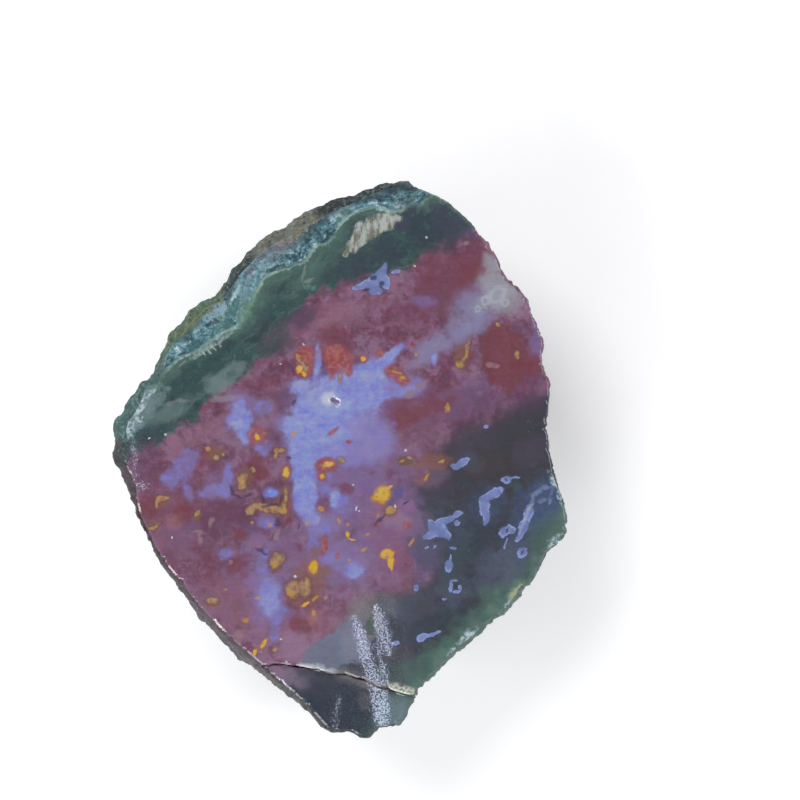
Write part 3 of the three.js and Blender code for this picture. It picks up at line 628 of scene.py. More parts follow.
class Nodes:
    """Adds nodes to one shader tree. Each value may be a number, a vector or another node's output."""

    def __init__(self, tree):
        self.tree = tree

    def put(self, value, socket):
        if isinstance(value, bpy.types.NodeSocket):
            self.tree.links.new(value, socket)
        else:
            socket.default_value = value

    def add(self, kind, inputs=(), **settings):
        node = self.tree.nodes.new(kind)
        for name, value in settings.items():
            setattr(node, name, value)
        for socket, value in dict(inputs).items():
            self.put(value, node.inputs[socket])
        return node

    def math(self, operation, *values, clamp=False):
        node = self.add("ShaderNodeMath", enumerate(values), operation=operation, use_clamp=clamp)
        return node.outputs[0]

    def product(self, first, second):
        return self.math("MULTIPLY", first, second)

    def linear(self, value, slope, start, clamp=False):
        """start, and slope more for each 1 of value."""
        return self.math("MULTIPLY_ADD", value, slope, start, clamp=clamp)

    def vector(self, operation, *values):
        node = self.add("ShaderNodeVectorMath", enumerate(values), operation=operation)
        return node.outputs["Vector"]

    def scaled(self, vector, factor):
        node = self.add("ShaderNodeVectorMath", {0: vector, "Scale": factor}, operation="SCALE")
        return node.outputs["Vector"]

    def parts(self, vector):
        return self.add("ShaderNodeSeparateXYZ", {0: vector}).outputs

    def step(self, value, start, end):
        """0 where value is at start and 1 where it is at end, with a soft passage between."""
        inputs = {"Value": value, "From Min": start, "From Max": end}
        if start > end:
            inputs = {"Value": value, "From Min": end, "From Max": start, "To Min": 1.0, "To Max": 0.0}
        node = self.add("ShaderNodeMapRange", inputs, interpolation_type="SMOOTHSTEP")
        return node.outputs["Result"]

    def window(self, value, rise, fall):
        """1 between two soft steps, each (start, end)."""
        return self.product(self.step(value, *rise), self.step(value, *fall))

    def mix(self, factor, low, high, strength=1):
        """low where factor is 0 and, up to this strength, high where it is 1. A colour may be a name."""
        if strength < 1:
            factor = self.product(factor, strength)
        low, high = [rgba(shade) if isinstance(shade, str) else shade for shade in (low, high)]
        node = self.add("ShaderNodeMix", {0: factor, 6: low, 7: high}, data_type="RGBA")
        return node.outputs[2]

    def ramp(self, value, *stops):
        """Colours along a value. Each stop is (place, colour name), in order."""
        node = self.add("ShaderNodeValToRGB", {"Fac": value})
        line = node.color_ramp.elements
        line.remove(line[1])
        line[0].position = stops[0][0]
        line[0].color = rgba(stops[0][1])
        for place, name in stops[1:]:
            line.new(place).color = rgba(name)
        return node.outputs["Color"]

    def shaded(self, colour, brightness):
        node = self.add("ShaderNodeHueSaturation", {"Value": brightness, "Color": colour})
        return node.outputs["Color"]

    def noise(self, point, size, detail=2.0, roughness=0.5, out="Fac"):
        """Noise whose lumps are about size long, in the unit of point."""
        inputs = {"Vector": point, "Scale": 1 / size, "Detail": detail, "Roughness": roughness}
        return self.add("ShaderNodeTexNoise", inputs).outputs[out]

    def swing(self, point, size, detail, roughness):
        """Noise about 0."""
        return self.math("SUBTRACT", self.noise(point, size, detail, roughness), 0.5)

    def cells(self, point, size):
        return self.add("ShaderNodeTexVoronoi", {"Vector": point, "Scale": 1 / size}).outputs

    def turned(self, point, turn=0, scale=(1, 1, 1)):
        """The point, scaled and then turned about Z by degrees."""
        inputs = {"Vector": point, "Rotation": (0, 0, math.radians(turn)), "Scale": scale}
        return self.add("ShaderNodeMapping", inputs, vector_type="POINT").outputs[0]

    def warped(self, point, *waves):
        """The point, moved by noise, which mostly lies between 0.25 and 0.75. Each wave is (size, reach)."""
        for size, reach in waves:
            shift = self.vector("SUBTRACT", self.noise(point, size, 1.0, out="Color"), (0.5, 0.5, 0.5))
            point = self.vector("ADD", point, self.scaled(shift, 4 * reach))
        return point

    def curve(self, value, points):
        """A smooth line through points, mm."""
        share = self.linear(value, 1 / (2 * ZONE_REACH), 0.5)
        node = self.add("ShaderNodeFloatCurve", {"Value": share})
        line = node.mapping.curves[0].points
        while len(line) < len(points):
            line.new(0.5, 0.5)
        for knot, place in zip(line, points):
            knot.location = [(part + ZONE_REACH) / (2 * ZONE_REACH) for part in place]
        node.mapping.update()
        return self.linear(node.outputs[0], 2 * ZONE_REACH, -ZONE_REACH)

    def nearness(self, point, spot):
        """1 in the middle of a spot, and 0 from SPOT_REACH times its half sizes outwards."""
        node = self.add("ShaderNodeTexGradient", {"Vector": point}, gradient_type="QUADRATIC_SPHERE")
        place = node.texture_mapping
        place.vector_type = "TEXTURE"
        place.translation = (*on_face(spot.px, spot.py), FACE)
        place.rotation = (0, 0, math.radians(spot.turn))
        deep = 2 * max(spot.long, spot.wide)
        place.scale = [SPOT_REACH * PIXEL * half for half in (spot.long, spot.wide, deep)]
        return node.outputs["Fac"]

    def away(self, point, name, spots):
        """How far a point is from spots that run together: 0 in their middles and 1 on their edges."""
        group, n, start, end = new_group(name, [("Point", "Vector")], [("Away", "Float")])
        near = n.nearness(start.outputs["Point"], spots[0])
        for spot in spots[1:]:
            near = n.math("ADD", near, n.nearness(start.outputs["Point"], spot))
        n.put(n.linear(n.math("SQRT", near), -SPOT_REACH, SPOT_REACH), end.inputs["Away"])
        return self.add("ShaderNodeGroup", {"Point": point}, node_tree=group).outputs["Away"]


def rgba(name):
    """One of the stone's colours, for a node."""
    return (*getattr(bpy.context.scene.agate_colours, name), 1)


def new_group(name, inputs, outputs):
    """An empty shader group with its sockets, each (name, kind)."""
    group = bpy.data.node_groups.new(name, "ShaderNodeTree")
    for label, kind in inputs:
        group.interface.new_socket(label, in_out="INPUT", socket_type="NodeSocket" + kind)
    for label, kind in outputs:
        group.interface.new_socket(label, in_out="OUTPUT", socket_type="NodeSocket" + kind)
    nodes = Nodes(group)
    return group, nodes, group.nodes.new("NodeGroupInput"), group.nodes.new("NodeGroupOutput")


def inner_zones(n, past, mottled, fine, lobes):
    """The plum middle of the stone and its dark zone, out to the green at the lower right."""
    plum = n.ramp(
        mottled, (0.38, "dark_plum"), (0.44, "maroon"), (0.5, "plum"), (0.56, "dusk"), (0.64, "rose")
    )
    slate = n.ramp(mottled, (0.38, "night"), (0.46, "slate"), (0.54, "umber"), (0.63, "green_slate"))
    result = n.mix(n.step(past(PLUM_TO_SLATE), 1.8, -1.8), plum, slate)
    ragged = n.linear(n.math("SUBTRACT", fine, 0.5), 4, past(SLATE_TO_RIM))
    ragged = n.linear(lobes, 11, ragged)
    result = n.mix(n.step(ragged, 2.4, -1.8), result, "rim_green")
    return n.mix(n.step(ragged, -1.2, -4.6), result, "rim_light")


def skin_colour(n, point, along, deep, lobes, specks):
    """The weathered skin, in stretches along the bands that stray more the lower they are."""
    stray = n.product(n.step(deep, FACE - 1, FACE - 12), n.swing(point, 9, 4, 0.6))
    run = n.linear(stray, 130, n.linear(lobes, 8, along))
    skin = "rind_green"
    for start, end, name in SKIN_STRETCHES:
        skin = n.mix(n.step(run, start, end), skin, name)
    crusty = n.linear(n.step(along, -14, -22), 0.35, 0.5)
    skin = n.mix(n.product(n.step(specks, 0.5, 0.62), crusty), skin, "grey_green")
    return n.shaded(skin, n.linear(specks, 1.8, 0.1))


def layers_group():
    """The zones of the stone from the rind inwards, at a point in mm. Porous is 1 in the fibrous band. Pull
    is how far the fibres draw a cloud along the bands, mm. Skin is the colour of the weathered skin."""
    group, n, start, end = new_group(
        "agate layers", [("Point", "Vector")],
        [("Colour", "Color"), ("Porous", "Float"), ("Pull", "Float"), ("Skin", "Color")],
    )
    point = start.outputs["Point"]
    along, across, deep = n.parts(n.turned(n.warped(point, (5, 0.45), (1.6, 0.2)), -BAND_TURN))

    def past(line):
        """How far a point lies past a line of pixels, towards the rind."""
        return n.math("SUBTRACT", across, n.curve(along, [in_bands(*on_face(*pixel)) for pixel in line]))

    fine = n.noise(n.warped(point, (4, 0.9)), 2.4, 4, 0.6)
    lobes = n.swing(point, 3.4, 2, 0.5)
    specks = n.noise(n.warped(point, (1.2, 0.3)), 0.8, 3, 0.6)
    mottled = n.linear(fine, 0.5, n.product(n.noise(point, 7, 5, 0.6), 0.5))
    inward = past(BAND_INNER)
    outward = past(BAND_OUTER)
    follow = n.add("ShaderNodeCombineXYZ", {0: n.product(along, 0.3), 1: inward, 2: n.product(deep, 0.4)})
    follow = follow.outputs[0]
    fibres = n.noise(n.warped(follow, (1.6, 0.35)), 1.0, 4, 0.6)
    patches = n.noise(n.turned(follow, scale=(1, 0.5, 1)), 2.4, 3, 0.6)

    green = n.ramp(
        mottled, (0.38, "night"), (0.45, "deep_green"), (0.52, "dark_green"), (0.58, "deep_green"),
        (0.64, "moss"),
    )
    green = n.mix(n.step(fibres, 0.52, 0.66), green, "moss", 0.5)
    result = inner_zones(n, past, mottled, fine, lobes)
    result = n.mix(n.step(n.linear(lobes, 7, past(GREEN_TO_PLUM)), -1.0, 1.0), result, green)

    thread = n.linear(fibres, 0.35, n.product(specks, 0.4))
    rind = n.ramp(
        n.linear(patches, 0.25, thread), (0.43, "teal_deep"), (0.46, "teal_dark"), (0.49, "teal"),
        (0.525, "teal_bright"), (0.565, "teal_pale"), (0.62, "white"),
    )
    rind = n.mix(n.step(patches, 0.52, 0.66), rind, "moss", 0.4)
    ragged = n.product(n.math("SUBTRACT", specks, 0.5), 4)
    inner = n.math("ADD", inward, n.product(ragged, 0.5))
    outer = n.math("ADD", outward, ragged)
    skin = skin_colour(n, point, along, deep, lobes, specks)
    shade = n.window(outer, (-1.4, -0.1), (0.6, 0.1))
    rind = n.mix(n.step(outer, -0.1, 0.3), rind, skin)
    rind = n.mix(shade, rind, "teal_deep", 0.7)

    result = n.mix(n.step(inner, -3.8, -0.4), result, "moss", 0.5)
    porous = n.step(inner, -0.2, 0.3)
    result = n.mix(porous, result, rind)
    line = n.window(inner, (-0.4, -0.1), (0.5, 0.1))
    broken = n.linear(patches, 2.4, -0.6, clamp=True)
    result = n.mix(n.product(line, broken), result, "pale_line")
    grain = n.noise(point, 0.55, 3, 0.6)
    result = n.shaded(result, n.linear(fine, 0.5, n.linear(grain, 0.3, 0.59)))
    pull = n.linear(fibres, 0.8, -0.4)
    for label, value in {"Colour": result, "Porous": porous, "Pull": pull, "Skin": skin}.items():
        n.put(value, end.inputs[label])
    return group


def stone_material(name, layers):
    """A new material, a point on the stone in mm, and the stone's layers at that point."""
    material = bpy.data.materials.new(name)
    material.use_nodes = True
    material.node_tree.nodes.clear()
    n = Nodes(material.node_tree)
    point = n.scaled(n.add("ShaderNodeTexCoord").outputs["Object"], 1 / MM)
    return material, n, point, n.add("ShaderNodeGroup", {"Point": point}, node_tree=layers).outputs


def finish_material(n, base, roughness, height, strength, distance):
    """The shader of the stone: its colour under a gloss, with fine relief."""
    bump = n.add("ShaderNodeBump", {"Strength": strength, "Distance": distance, "Height": height})
    shader = n.add("ShaderNodeBsdfPrincipled", {
        "Base Color": base, "Roughness": roughness, "IOR": QUARTZ_IOR, "Normal": bump.outputs[0],
    })
    output = n.add("ShaderNodeOutputMaterial")
    n.put(shader.outputs[0], output.inputs["Surface"])


class Painter:
    """The colour of the face so far, with the noise and the warped points that its markings share."""

    def __init__(self, n, point, zones):
        self.n = n
        self.point = point
        self.colour = zones["Colour"]
        self.fray = n.swing(point, 1.5, 3, 0.55)
        self.drift = n.product(n.swing(point, 4, 4, 0.58), 2.6)
        self.cloudy = n.noise(point, 2.4, 4, 0.6)
        self.mottle = n.noise(point, 1.0, 3, 0.6)
        self.speckle = n.noise(point, 0.5, 2, 0.6)
        turn = math.radians(BAND_TURN)
        pulled = n.vector("ADD", point, n.scaled((math.cos(turn), math.sin(turn), 0), zones["Pull"]))
        self.misty = n.warped(pulled, (7, 0.5), (2.4, 0.35))
        self.soft = n.warped(pulled, (3.8, 0.35), (1.3, 0.2))
        self.crisp = n.warped(pulled, (2.6, 0.3), (0.9, 0.12))

    def cover(self, mask, colour, strength=1):
        self.colour = self.n.mix(mask, self.colour, colour, strength)

    def clouds(self, point, drift, clouds):
        """Clouds whose edges are frayed by drift, as a share of how near they are."""
        middle = 1 - 1 / SPOT_REACH
        for cloud in clouds:
            near = self.n.math("SQRT", self.n.nearness(point, cloud))
            near = self.n.linear(near, drift, near)
            soft = cloud.soft / SPOT_REACH
            self.cover(self.n.step(near, middle - soft, middle + soft), cloud.colour, cloud.strength)

    def spots(self, point, name, spots, fraying, *coats):
        """Spots in coats, each (how far away it begins, where it is whole, colour, strength)."""
        away = self.n.away(point, name, spots)
        if fraying:
            by_spots = self.n.linear(away, -FRAY_FADE, FRAY_FADE * SPOT_REACH, clamp=True)
            away = self.n.linear(self.n.product(self.fray, by_spots), fraying, away)
        for start, end, colour, strength in coats:
            self.cover(self.n.step(away, start, end), colour, strength)
        return away


def paint_clouds(face):
    """The soft clouds, the patches with a clear edge and the pieces in the fibrous band."""
    n = face.n
    face.clouds(face.misty, face.drift, CLOUDS)
    face.clouds(face.crisp, face.fray, PATCHES)
    ground = face.colour
    face.clouds(face.crisp, n.product(face.fray, 3), BAND_PIECES)
    face.colour = n.mix(n.linear(face.speckle, -3, 2.3, clamp=True), ground, face.colour)


def paint_lavender(face):
    """The soft bricks and violets, the veil, and the lavender with its mist and glow."""
    n = face.n
    soft = face.soft
    face.spots(soft, "bricks", BRICKS, 1.6, (1.4, 0.4, "brick", 0.75))
    lilac = n.ramp(face.cloudy, (0.4, "violet"), (0.5, "violet_blue"), (0.62, "lavender_deep"))
    face.spots(soft, "violets", VIOLETS, 1.4, (1.45, 0.5, lilac, 0.85))
    face.clouds(face.misty, face.drift, VEILS)
    lobes = face.spots(soft, "veil lobes", VEIL_LOBES, 1.6)
    face.cover(n.window(lobes, (1.65, 1.0), (0.3, 0.95)), "veil_bright", 0.6)
    streaks = n.noise(n.turned(face.point, -30, (0.4, 1, 1)), 3.4, 4, 0.58)
    heart = n.ramp(streaks, (0.36, "lavender_deep"), (0.5, "lavender"), (0.66, "lavender_grey"))
    edge = (1.7, 0.9, "violet_blue", 0.5)
    face.spots(soft, "lavender", LAVENDER, 1.0, edge, (1.25, 0.65, heart, 0.96))
    face.clouds(face.misty, face.drift, MISTS)
    face.clouds(face.misty, 0.0, GLOWS)


def paint_crusts(face):
    """The brown halos, the olive eye, the pale crusty patch, the smudges and the crust on the edges."""
    n = face.n
    soft = face.soft
    face.spots(soft, "browns", BROWNS, 1.6, (1.35, 0.4, "brown", 0.72))
    face.spots(soft, "olives", OLIVES, 0.7, (1.9, 1.15, "ash", 0.6), (1.15, 0.75, "olive", 0.9))
    streaky = n.noise(n.turned(face.point, 8, (1, 0.3, 1)), 0.9, 4, 0.65)
    pale = n.ramp(streaky, (0.36, "olive_gold"), (0.43, "ash"), (0.49, "beige"), (0.58, "beige_pale"))
    face.spots(soft, "beiges", BEIGES, 2.2, (1.3, 0.6, pale, 0.92))
    face.spots(soft, "smudges", SMUDGES, 1.2, (1.4, 0.5, "smudge", 0.75))
    crust = n.ramp(
        face.mottle, (0.36, "teal_dark"), (0.42, "grey_green"), (0.5, "teal_pale"), (0.58, "white")
    )
    face.spots(soft, "crusts", CRUSTS, 3.4, (1.7, 0.6, crust, 0.72))


def paint_wisps(face):
    """The blue wisps: a dark halo, a bright line and a plain body, with dark eyes."""
    n = face.n
    line = n.mix(n.step(face.cloudy, 0.42, 0.54), "wisp", "wisp_line")
    body = n.ramp(face.cloudy, (0.4, "wisp"), (0.6, "wisp_edge"))
    halo = (1.6, 0.85, "deep_blue", 0.75)
    face.spots(face.crisp, "wisps", WISPS, 1.0, halo, (1.15, 1.0, line, 0.85), (0.84, 0.55, body, 0.8))
    face.spots(face.crisp, "wisp eyes", WISP_EYES, 0, (1.25, 0.6, "night", 0.8))


def paint_spots(face):
    """The red jasper, the gold and yellow spots, and the small dark, ochre and white ones."""
    n = face.n
    crisp = face.crisp
    jasper = n.ramp(face.mottle, (0.38, "brick_bright"), (0.5, "red"), (0.64, "salmon"))
    face.spots(crisp, "reds", REDS, 1.2, (1.6, 0.8, "brick_bright", 0.6), (1.2, 0.6, jasper, 0.72))
    gilt = n.ramp(face.mottle, (0.3, "brown"), (0.43, "ochre"), (0.6, "gold"))
    face.spots(crisp, "golds", GOLDS, 1.2, (1.6, 0.9, "umber_ring", 0.45), (1.2, 0.55, gilt, 0.9))
    face.spots(crisp, "darks", DARKS, 0, (1.5, 0.5, "dark_spot", 0.75))
    face.clouds(crisp, n.product(face.fray, 2), TOUCHES)
    face.spots(crisp, "specks", SPECKS, 1.4, (1.6, 0.5, "fuzz", 0.85))
    bright = n.ramp(face.mottle, (0.3, "orange"), (0.38, "gold"), (0.46, "yellow"))
    face.spots(crisp, "yellows", YELLOWS, 0.5, (1.5, 0.9, "orange", 0.75), (1.15, 0.7, bright, 0.95))
    face.spots(crisp, "dots", DOTS, 0, (1.4, 0.6, "white", 0.75))
    flecks = n.cells(face.point, 2.2)
    chance = n.add("ShaderNodeSeparateColor", {0: flecks["Color"]}).outputs[0]
    fleck = n.product(n.step(flecks["Distance"], 0.12, 0.03), n.step(chance, 0.95, 1.0))
    face.cover(fleck, "veil", 0.3)


def above_crack(n, x, y):
    return n.math("SUBTRACT", y, n.curve(x, CRACK))


def paint_crack(face):
    """The haze and the chips along the crack, with the cracked corner a little darker."""
    n = face.n
    x, y, _ = n.parts(face.point)
    above = above_crack(n, x, y)
    face.colour = n.shaded(face.colour, n.linear(n.step(above, -0.4, 0.2), 0.15, 0.85))
    ragged = n.linear(face.fray, 2.2, above)
    haze = n.product(n.step(n.math("ABSOLUTE", ragged), 2.4, 0.2), n.window(x, (-2, 2), (11, 8)))
    face.cover(haze, "ash", 0.6)
    crust = n.ramp(face.speckle, (0.36, "rim_green"), (0.46, "crack_edge"), (0.6, "white"))
    for width, start, end, chip, strength in (
        (1.7, (-9.6, -8.0), (1.5, -3.0), "crack_cream", 0.9),
        (2.4, (9.5, 12), (30, 29), crust, 0.85),
    ):
        chips = n.window(ragged, (-0.3, 0.0), (width, 0.4 * width))
        face.cover(n.product(chips, n.window(x, start, end)), chip, strength)


def face_material(layers):
    """The sawn face: the layers of the stone with everything that floats in them, under a gloss."""
    material, n, point, zones = stone_material("sawn agate", layers)
    face = Painter(n, point, zones)
    for paint in (paint_clouds, paint_lavender, paint_crusts, paint_wisps, paint_spots, paint_crack):
        paint(face)

    saw = n.noise(n.turned(point, 4, (0.06, 1, 1)), 0.45, 2)
    grain = n.noise(point, 0.35, 2, 0.7)
    result = n.add("ShaderNodeHueSaturation", {
        "Hue": n.linear(n.swing(point, 1.2, 4, 0.66), 0.1, 0.5),
        "Saturation": n.linear(face.cloudy, 0.6, 0.66),
        "Value": n.linear(grain, 0.24, n.linear(saw, 0.16, 0.79)),
        "Color": face.colour,
    }).outputs["Color"]
    worn = n.linear(n.step(n.away(point, "worn", WORN), 1.5, 1.0), 0.55, 0.2)
    pits = n.product(n.step(grain, 0.49, 0.54), worn)
    roughness = n.linear(n.math("MAXIMUM", zones["Porous"], pits), 0.4, 0.02)
    finish_material(n, result, roughness, n.noise(point, 0.9, 2, 0.6), 1.0, POLISH_RELIEF * MM)
    return material


def broken_colour(n, point, inside):
    """The broken sides: frosted, with painted shade that darkens them to the left and below, painted light
    in the vug, and a pale grey along the crack that is partly painted light.
    """
    x, y, z = n.parts(point)
    frost = n.step(n.noise(point, 1.1, 4, 0.75), 0.55, 0.75)
    # Painted shade: the broken sides grow darker towards the left and lower down the walls.
    light = n.linear(n.step(x, -15, 25), 0.8, 0.15)
    light = n.product(light, n.linear(n.step(z, FACE - 8, FACE - 1), 0.35, 0.65))
    inside = n.shaded(n.mix(frost, inside, "teal_pale", 0.3), light)
    # Painted light: the wall of the vug is painted pale against the shade in the pit.
    inside = n.mix(n.step(n.nearness(point, VUG), 0.1, 0.3), inside, "vug")
    # Pale grey near the top of the crack's walls: partly the crack's pale chipped edge, partly painted light
    # that lifts the shade in the gap.
    by_crack = n.product(n.step(n.math("ABSOLUTE", above_crack(n, x, y)), 1.4, 0.7), n.step(x, -12, -4))
    by_crack = n.product(by_crack, n.step(z, FACE - 6, FACE - 1))
    return n.mix(by_crack, inside, "ash", 0.75)


def rough_material(layers):
    """The broken sides and the weathered skin. The attribute rind is 1 on the skin and 0 on the breaks."""
    material, n, point, zones = stone_material("rough agate", layers)
    inside = broken_colour(n, point, zones["Colour"])
    stain = n.step(n.noise(point, 3.5, 4, 0.6), 0.5, 0.7)
    skin = n.mix(stain, zones["Skin"], "teal", 0.35)
    dirt = n.step(n.noise(point, 1.6, 4, 0.65), 0.48, 0.66)
    skin = n.mix(dirt, skin, "rind_dark", 0.55)
    pits = n.cells(point, 1.6)["Distance"]
    # Painted shade: the skin is darkened in its small pits.
    skin = n.mix(n.step(pits, 0.32, 0.12), skin, "rind_dark", 0.7)

    rind = n.add("ShaderNodeAttribute", attribute_name="rind").outputs["Fac"]
    ragged = n.math("ADD", rind, n.product(n.swing(point, 2.5, 4, 0.7), 1.2))
    weathered = n.step(ragged, 0.35, 0.65)
    result = n.mix(weathered, inside, skin)
    roughness = n.linear(weathered, 0.45, 0.38)
    height = n.math("ADD", n.noise(point, 0.9, 5, 0.7), n.product(pits, weathered))
    finish_material(n, result, roughness, height, 0.7, ROUGH_RELIEF * MM)
    return material


def is_sawn(face):
    """Whether a face of the solid lies in the sawn face or on top of the cracked corner."""
    levels = {round(vert.co.z / MM, 2) for vert in face.verts}
    return levels in ({round(FACE, 2)}, {round(FACE - CORNER_DROP, 2)}) and face.normal.z > 0.99


class AGATE_OT_stone(bpy.types.Operator):
    """Make the stone: its skin, its broken sides and its sawn face"""

    bl_idname = "agate.stone"
    bl_label = "Stone"

    def execute(self, context):
        settings = context.scene.agate_stone
        stone = open_walls(settings)
        rim = {vert for edge in stone.edges if edge.is_boundary for vert in edge.verts}
        walls = [vert for vert in stone.verts if vert not in rim and vert.co.z > FOOT_LEVEL * MM]
        for _ in range(settings.smoothing):
            for factor in (SMOOTH_IN, SMOOTH_OUT):
                bmesh.ops.smooth_vert(
                    stone, verts=walls, factor=factor, use_axis_x=True, use_axis_y=True, use_axis_z=True
                )
        stone.normal_update()
        roughen(walls, settings)
        chip_rim(rim, settings)
        close_face(stone, settings)

        mesh = bpy.data.meshes.new("agate_stone")
        stone.normal_update()
        stone.to_mesh(mesh)
        stone.free()
        mark_rind(mesh)
        layers = layers_group()
        mesh.materials.append(face_material(layers))
        mesh.materials.append(rough_material(layers))
        piece = bpy.data.objects.new("agate_stone", mesh)
        context.scene.collection.objects.link(piece)
        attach(piece, "root")
        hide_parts("agate")
        return {"FINISHED"}


def open_walls(settings):
    """The solid without its sawn faces, divided finely."""
    stone = bmesh.new()
    stone.from_mesh(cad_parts["agate"].data)
    bmesh.ops.remove_doubles(stone, verts=stone.verts, dist=WELD * MM)
    stone.normal_update()
    sawn = [face for face in stone.faces if is_sawn(face)]
    bmesh.ops.delete(stone, geom=sawn, context="FACES_ONLY")
    loose = [edge for edge in stone.edges if not edge.link_faces]
    bmesh.ops.delete(stone, geom=loose, context="EDGES")
    bmesh.ops.subdivide_edges(stone, edges=stone.edges, cuts=settings.cuts, use_grid_fill=True)
    return stone


def close_face(stone, settings):
    """Gives the sawn face its sloping edge and its flat middle, and the walls the second material."""
    flat = set()
    sloping = set()
    for level in (FACE, FACE - CORNER_DROP):
        sloping.update(slope_rim(stone, rim_edges(stone, level), settings))
        filled = bmesh.ops.triangle_fill(
            stone, edges=rim_edges(stone, level), use_beauty=True, normal=(0, 0, 1)
        )
        flat.update(made for made in filled["geom"] if isinstance(made, bmesh.types.BMFace))
    for face in stone.faces:
        face.smooth = face not in flat
        face.material_index = 0 if face in flat or face in sloping else 1


def skin_share(place, normal):
    """1 where the weathered skin is kept and 0 where the side is freshly broken. place is in mm."""
    along, towards_rind = in_bands(place.x, place.y)
    begins = SKIN_BEGINS + 1.5 * max(0.0, SKIN_LEFT_END - along)
    share = 0.5 + (towards_rind - begins) / SKIN_FADE - max(0.0, along - SKIN_RIGHT_END) / 3
    under = max(0.0, -normal.z - 0.35) * 2.2
    low = max(0.0, 0.35 - place.z / FACE)
    return min(1.0, max(0.0, max(share, 0) + under + low + 0.5 * noise.noise(place / SKIN_PATCHES)))


def roughen(walls, settings):
    """Moves the walls along their normals: lumps and pits on the skin, stepped chips on the breaks."""
    moves = []
    for vert in walls:
        place = vert.co / MM
        share = skin_share(place, vert.normal)
        lumps = noise.fractal(place / LUMPS, 0.9, 2.1, 4)
        ridges = 1 - abs(noise.noise(place / RIDGES)) * 2
        steps = noise.turbulence(place / STEPS, 3, True, amplitude_scale=0.55, frequency_scale=2.1)
        skin_move = settings.rind_height * (lumps + 0.35 * ridges + 0.5)
        break_move = settings.break_height * (1.3 * steps - 0.4 + 0.5 * lumps)
        below = FACE - place.z
        fade = min(1.0, place.z / FOOT_FADE) * (1 + 0.8 * min(1.0, below / FULL_ROUGHNESS))
        move = vert.normal * fade * (share * skin_move + (1 - share) * break_move)
        near_face = max(0.0, 1 - below / CHIP_REACH)
        move -= towards_outside(place) * near_face * settings.chip_depth * (1 - share) * bite(place)
        belly = min(1.0, below / BELLY_TOP) * max(0.0, 1 - below / BELLY_END)
        lower_left = max(0.0, vert.normal.dot(LOWER_LEFT) - 0.4)
        moves.append(move + LOWER_LEFT * belly * lower_left * settings.belly)
    low, high = cad_box
    for vert, move in zip(walls, moves):
        vert.co += move
        vert.co.x = min(max(vert.co.x, low.x), high.x)
        vert.co.y = min(max(vert.co.y, low.y), high.y)
        vert.co.z = min(max(vert.co.z, 2 * FOOT_LEVEL * MM), (FACE - WALL_BELOW) * MM)


def chip_rim(rim, settings):
    """Small chips in the edge of the sawn face. They only move it inwards, along the face."""
    for vert in rim:
        place = vert.co / MM
        fresh = 1 - skin_share(place, vert.normal)
        vert.co -= towards_outside(place) * settings.chip_depth * fresh * bite(place)


def towards_outside(place):
    return Vector((place.x, place.y, 0)).normalized()


def bite(place):
    """How much of a chip's depth is missing at the edge of the face by this point in mm."""
    there = Vector((place.x, place.y, 0.35 * place.z))
    return max(0.0, noise.noise(there / CHIPS) + 0.8 * noise.noise(there / CRUMBS))


def rim_edges(stone, level):
    """The open edges at one level of the face. level is in mm."""
    return [
        edge for edge in stone.edges
        if edge.is_boundary and all(abs(vert.co.z / MM - level) < 0.01 for vert in edge.verts)
    ]


def outward_directions(edges):
    """The way out of the face at each corner of its rim, smoothed along the rim."""
    near = {}
    for edge in edges:
        for vert in edge.verts:
            near.setdefault(vert, []).append(edge.other_vert(vert))
    outward = {vert: Vector((vert.normal.x, vert.normal.y, 0)).normalized() for vert in near}
    for _ in range(RIM_ROUNDS):
        outward = {
            vert: sum((outward[other] for other in others), outward[vert]).normalized()
            for vert, others in near.items()
        }
    return outward


def slope_rim(stone, edges, settings):
    """Makes a narrow sloping edge round the face, widest at the lower left, and returns its faces."""
    outward = outward_directions(edges)
    made = bmesh.ops.extrude_edge_only(stone, edges=edges)["geom"]
    for edge in edges:
        edge.smooth = False
    sloping = set()
    for new in [part for part in made if isinstance(part, bmesh.types.BMVert)]:
        edge = next(edge for edge in new.link_edges if edge.other_vert(new) in outward)
        old = edge.other_vert(new)
        sloping.update(edge.link_faces)
        place = old.co / MM
        towards_lower_left = max(0.0, outward[old].dot(LOWER_LEFT) - 0.3)
        varied = 0.9 * noise.noise(place / SLOPE_WIDTHS)
        width = settings.bevel * (0.8 + 2 * towards_lower_left + varied)
        new.co -= outward[old] * width
        bends = 0.13 * noise.noise(place / SLOPE_BENDS)
        ripples = 0.13 * noise.noise(place / SLOPE_RIPPLES)
        old.co.z -= (SLOPE + bends + ripples) * width
        for wall in [edge.other_vert(old) for edge in old.link_edges]:
            if wall not in outward and wall is not new:
                wall.co.z = min(wall.co.z, old.co.z - WALL_BELOW * MM)
    return sloping


def mark_rind(mesh):
    """Writes how much of the weathered skin is kept to the attribute rind."""
    rind = mesh.attributes.new("rind", "FLOAT", "POINT")
    shares = [skin_share(vert.co / MM, vert.normal) for vert in mesh.vertices]
    rind.data.foreach_set("value", shares)


def hang_light(name, shape, place, turn, size, power, tint=(1, 1, 1)):
    """A soft area light, in metres and watts."""
    light = bpy.data.lights.new(name, "AREA")
    light.shape = shape
    light.size, light.size_y = size
    light.energy = power
    light.color = tint
    lamp = bpy.data.objects.new(name, light)
    lamp.location = place
    lamp.rotation_euler = turn
    bpy.context.scene.collection.objects.link(lamp)


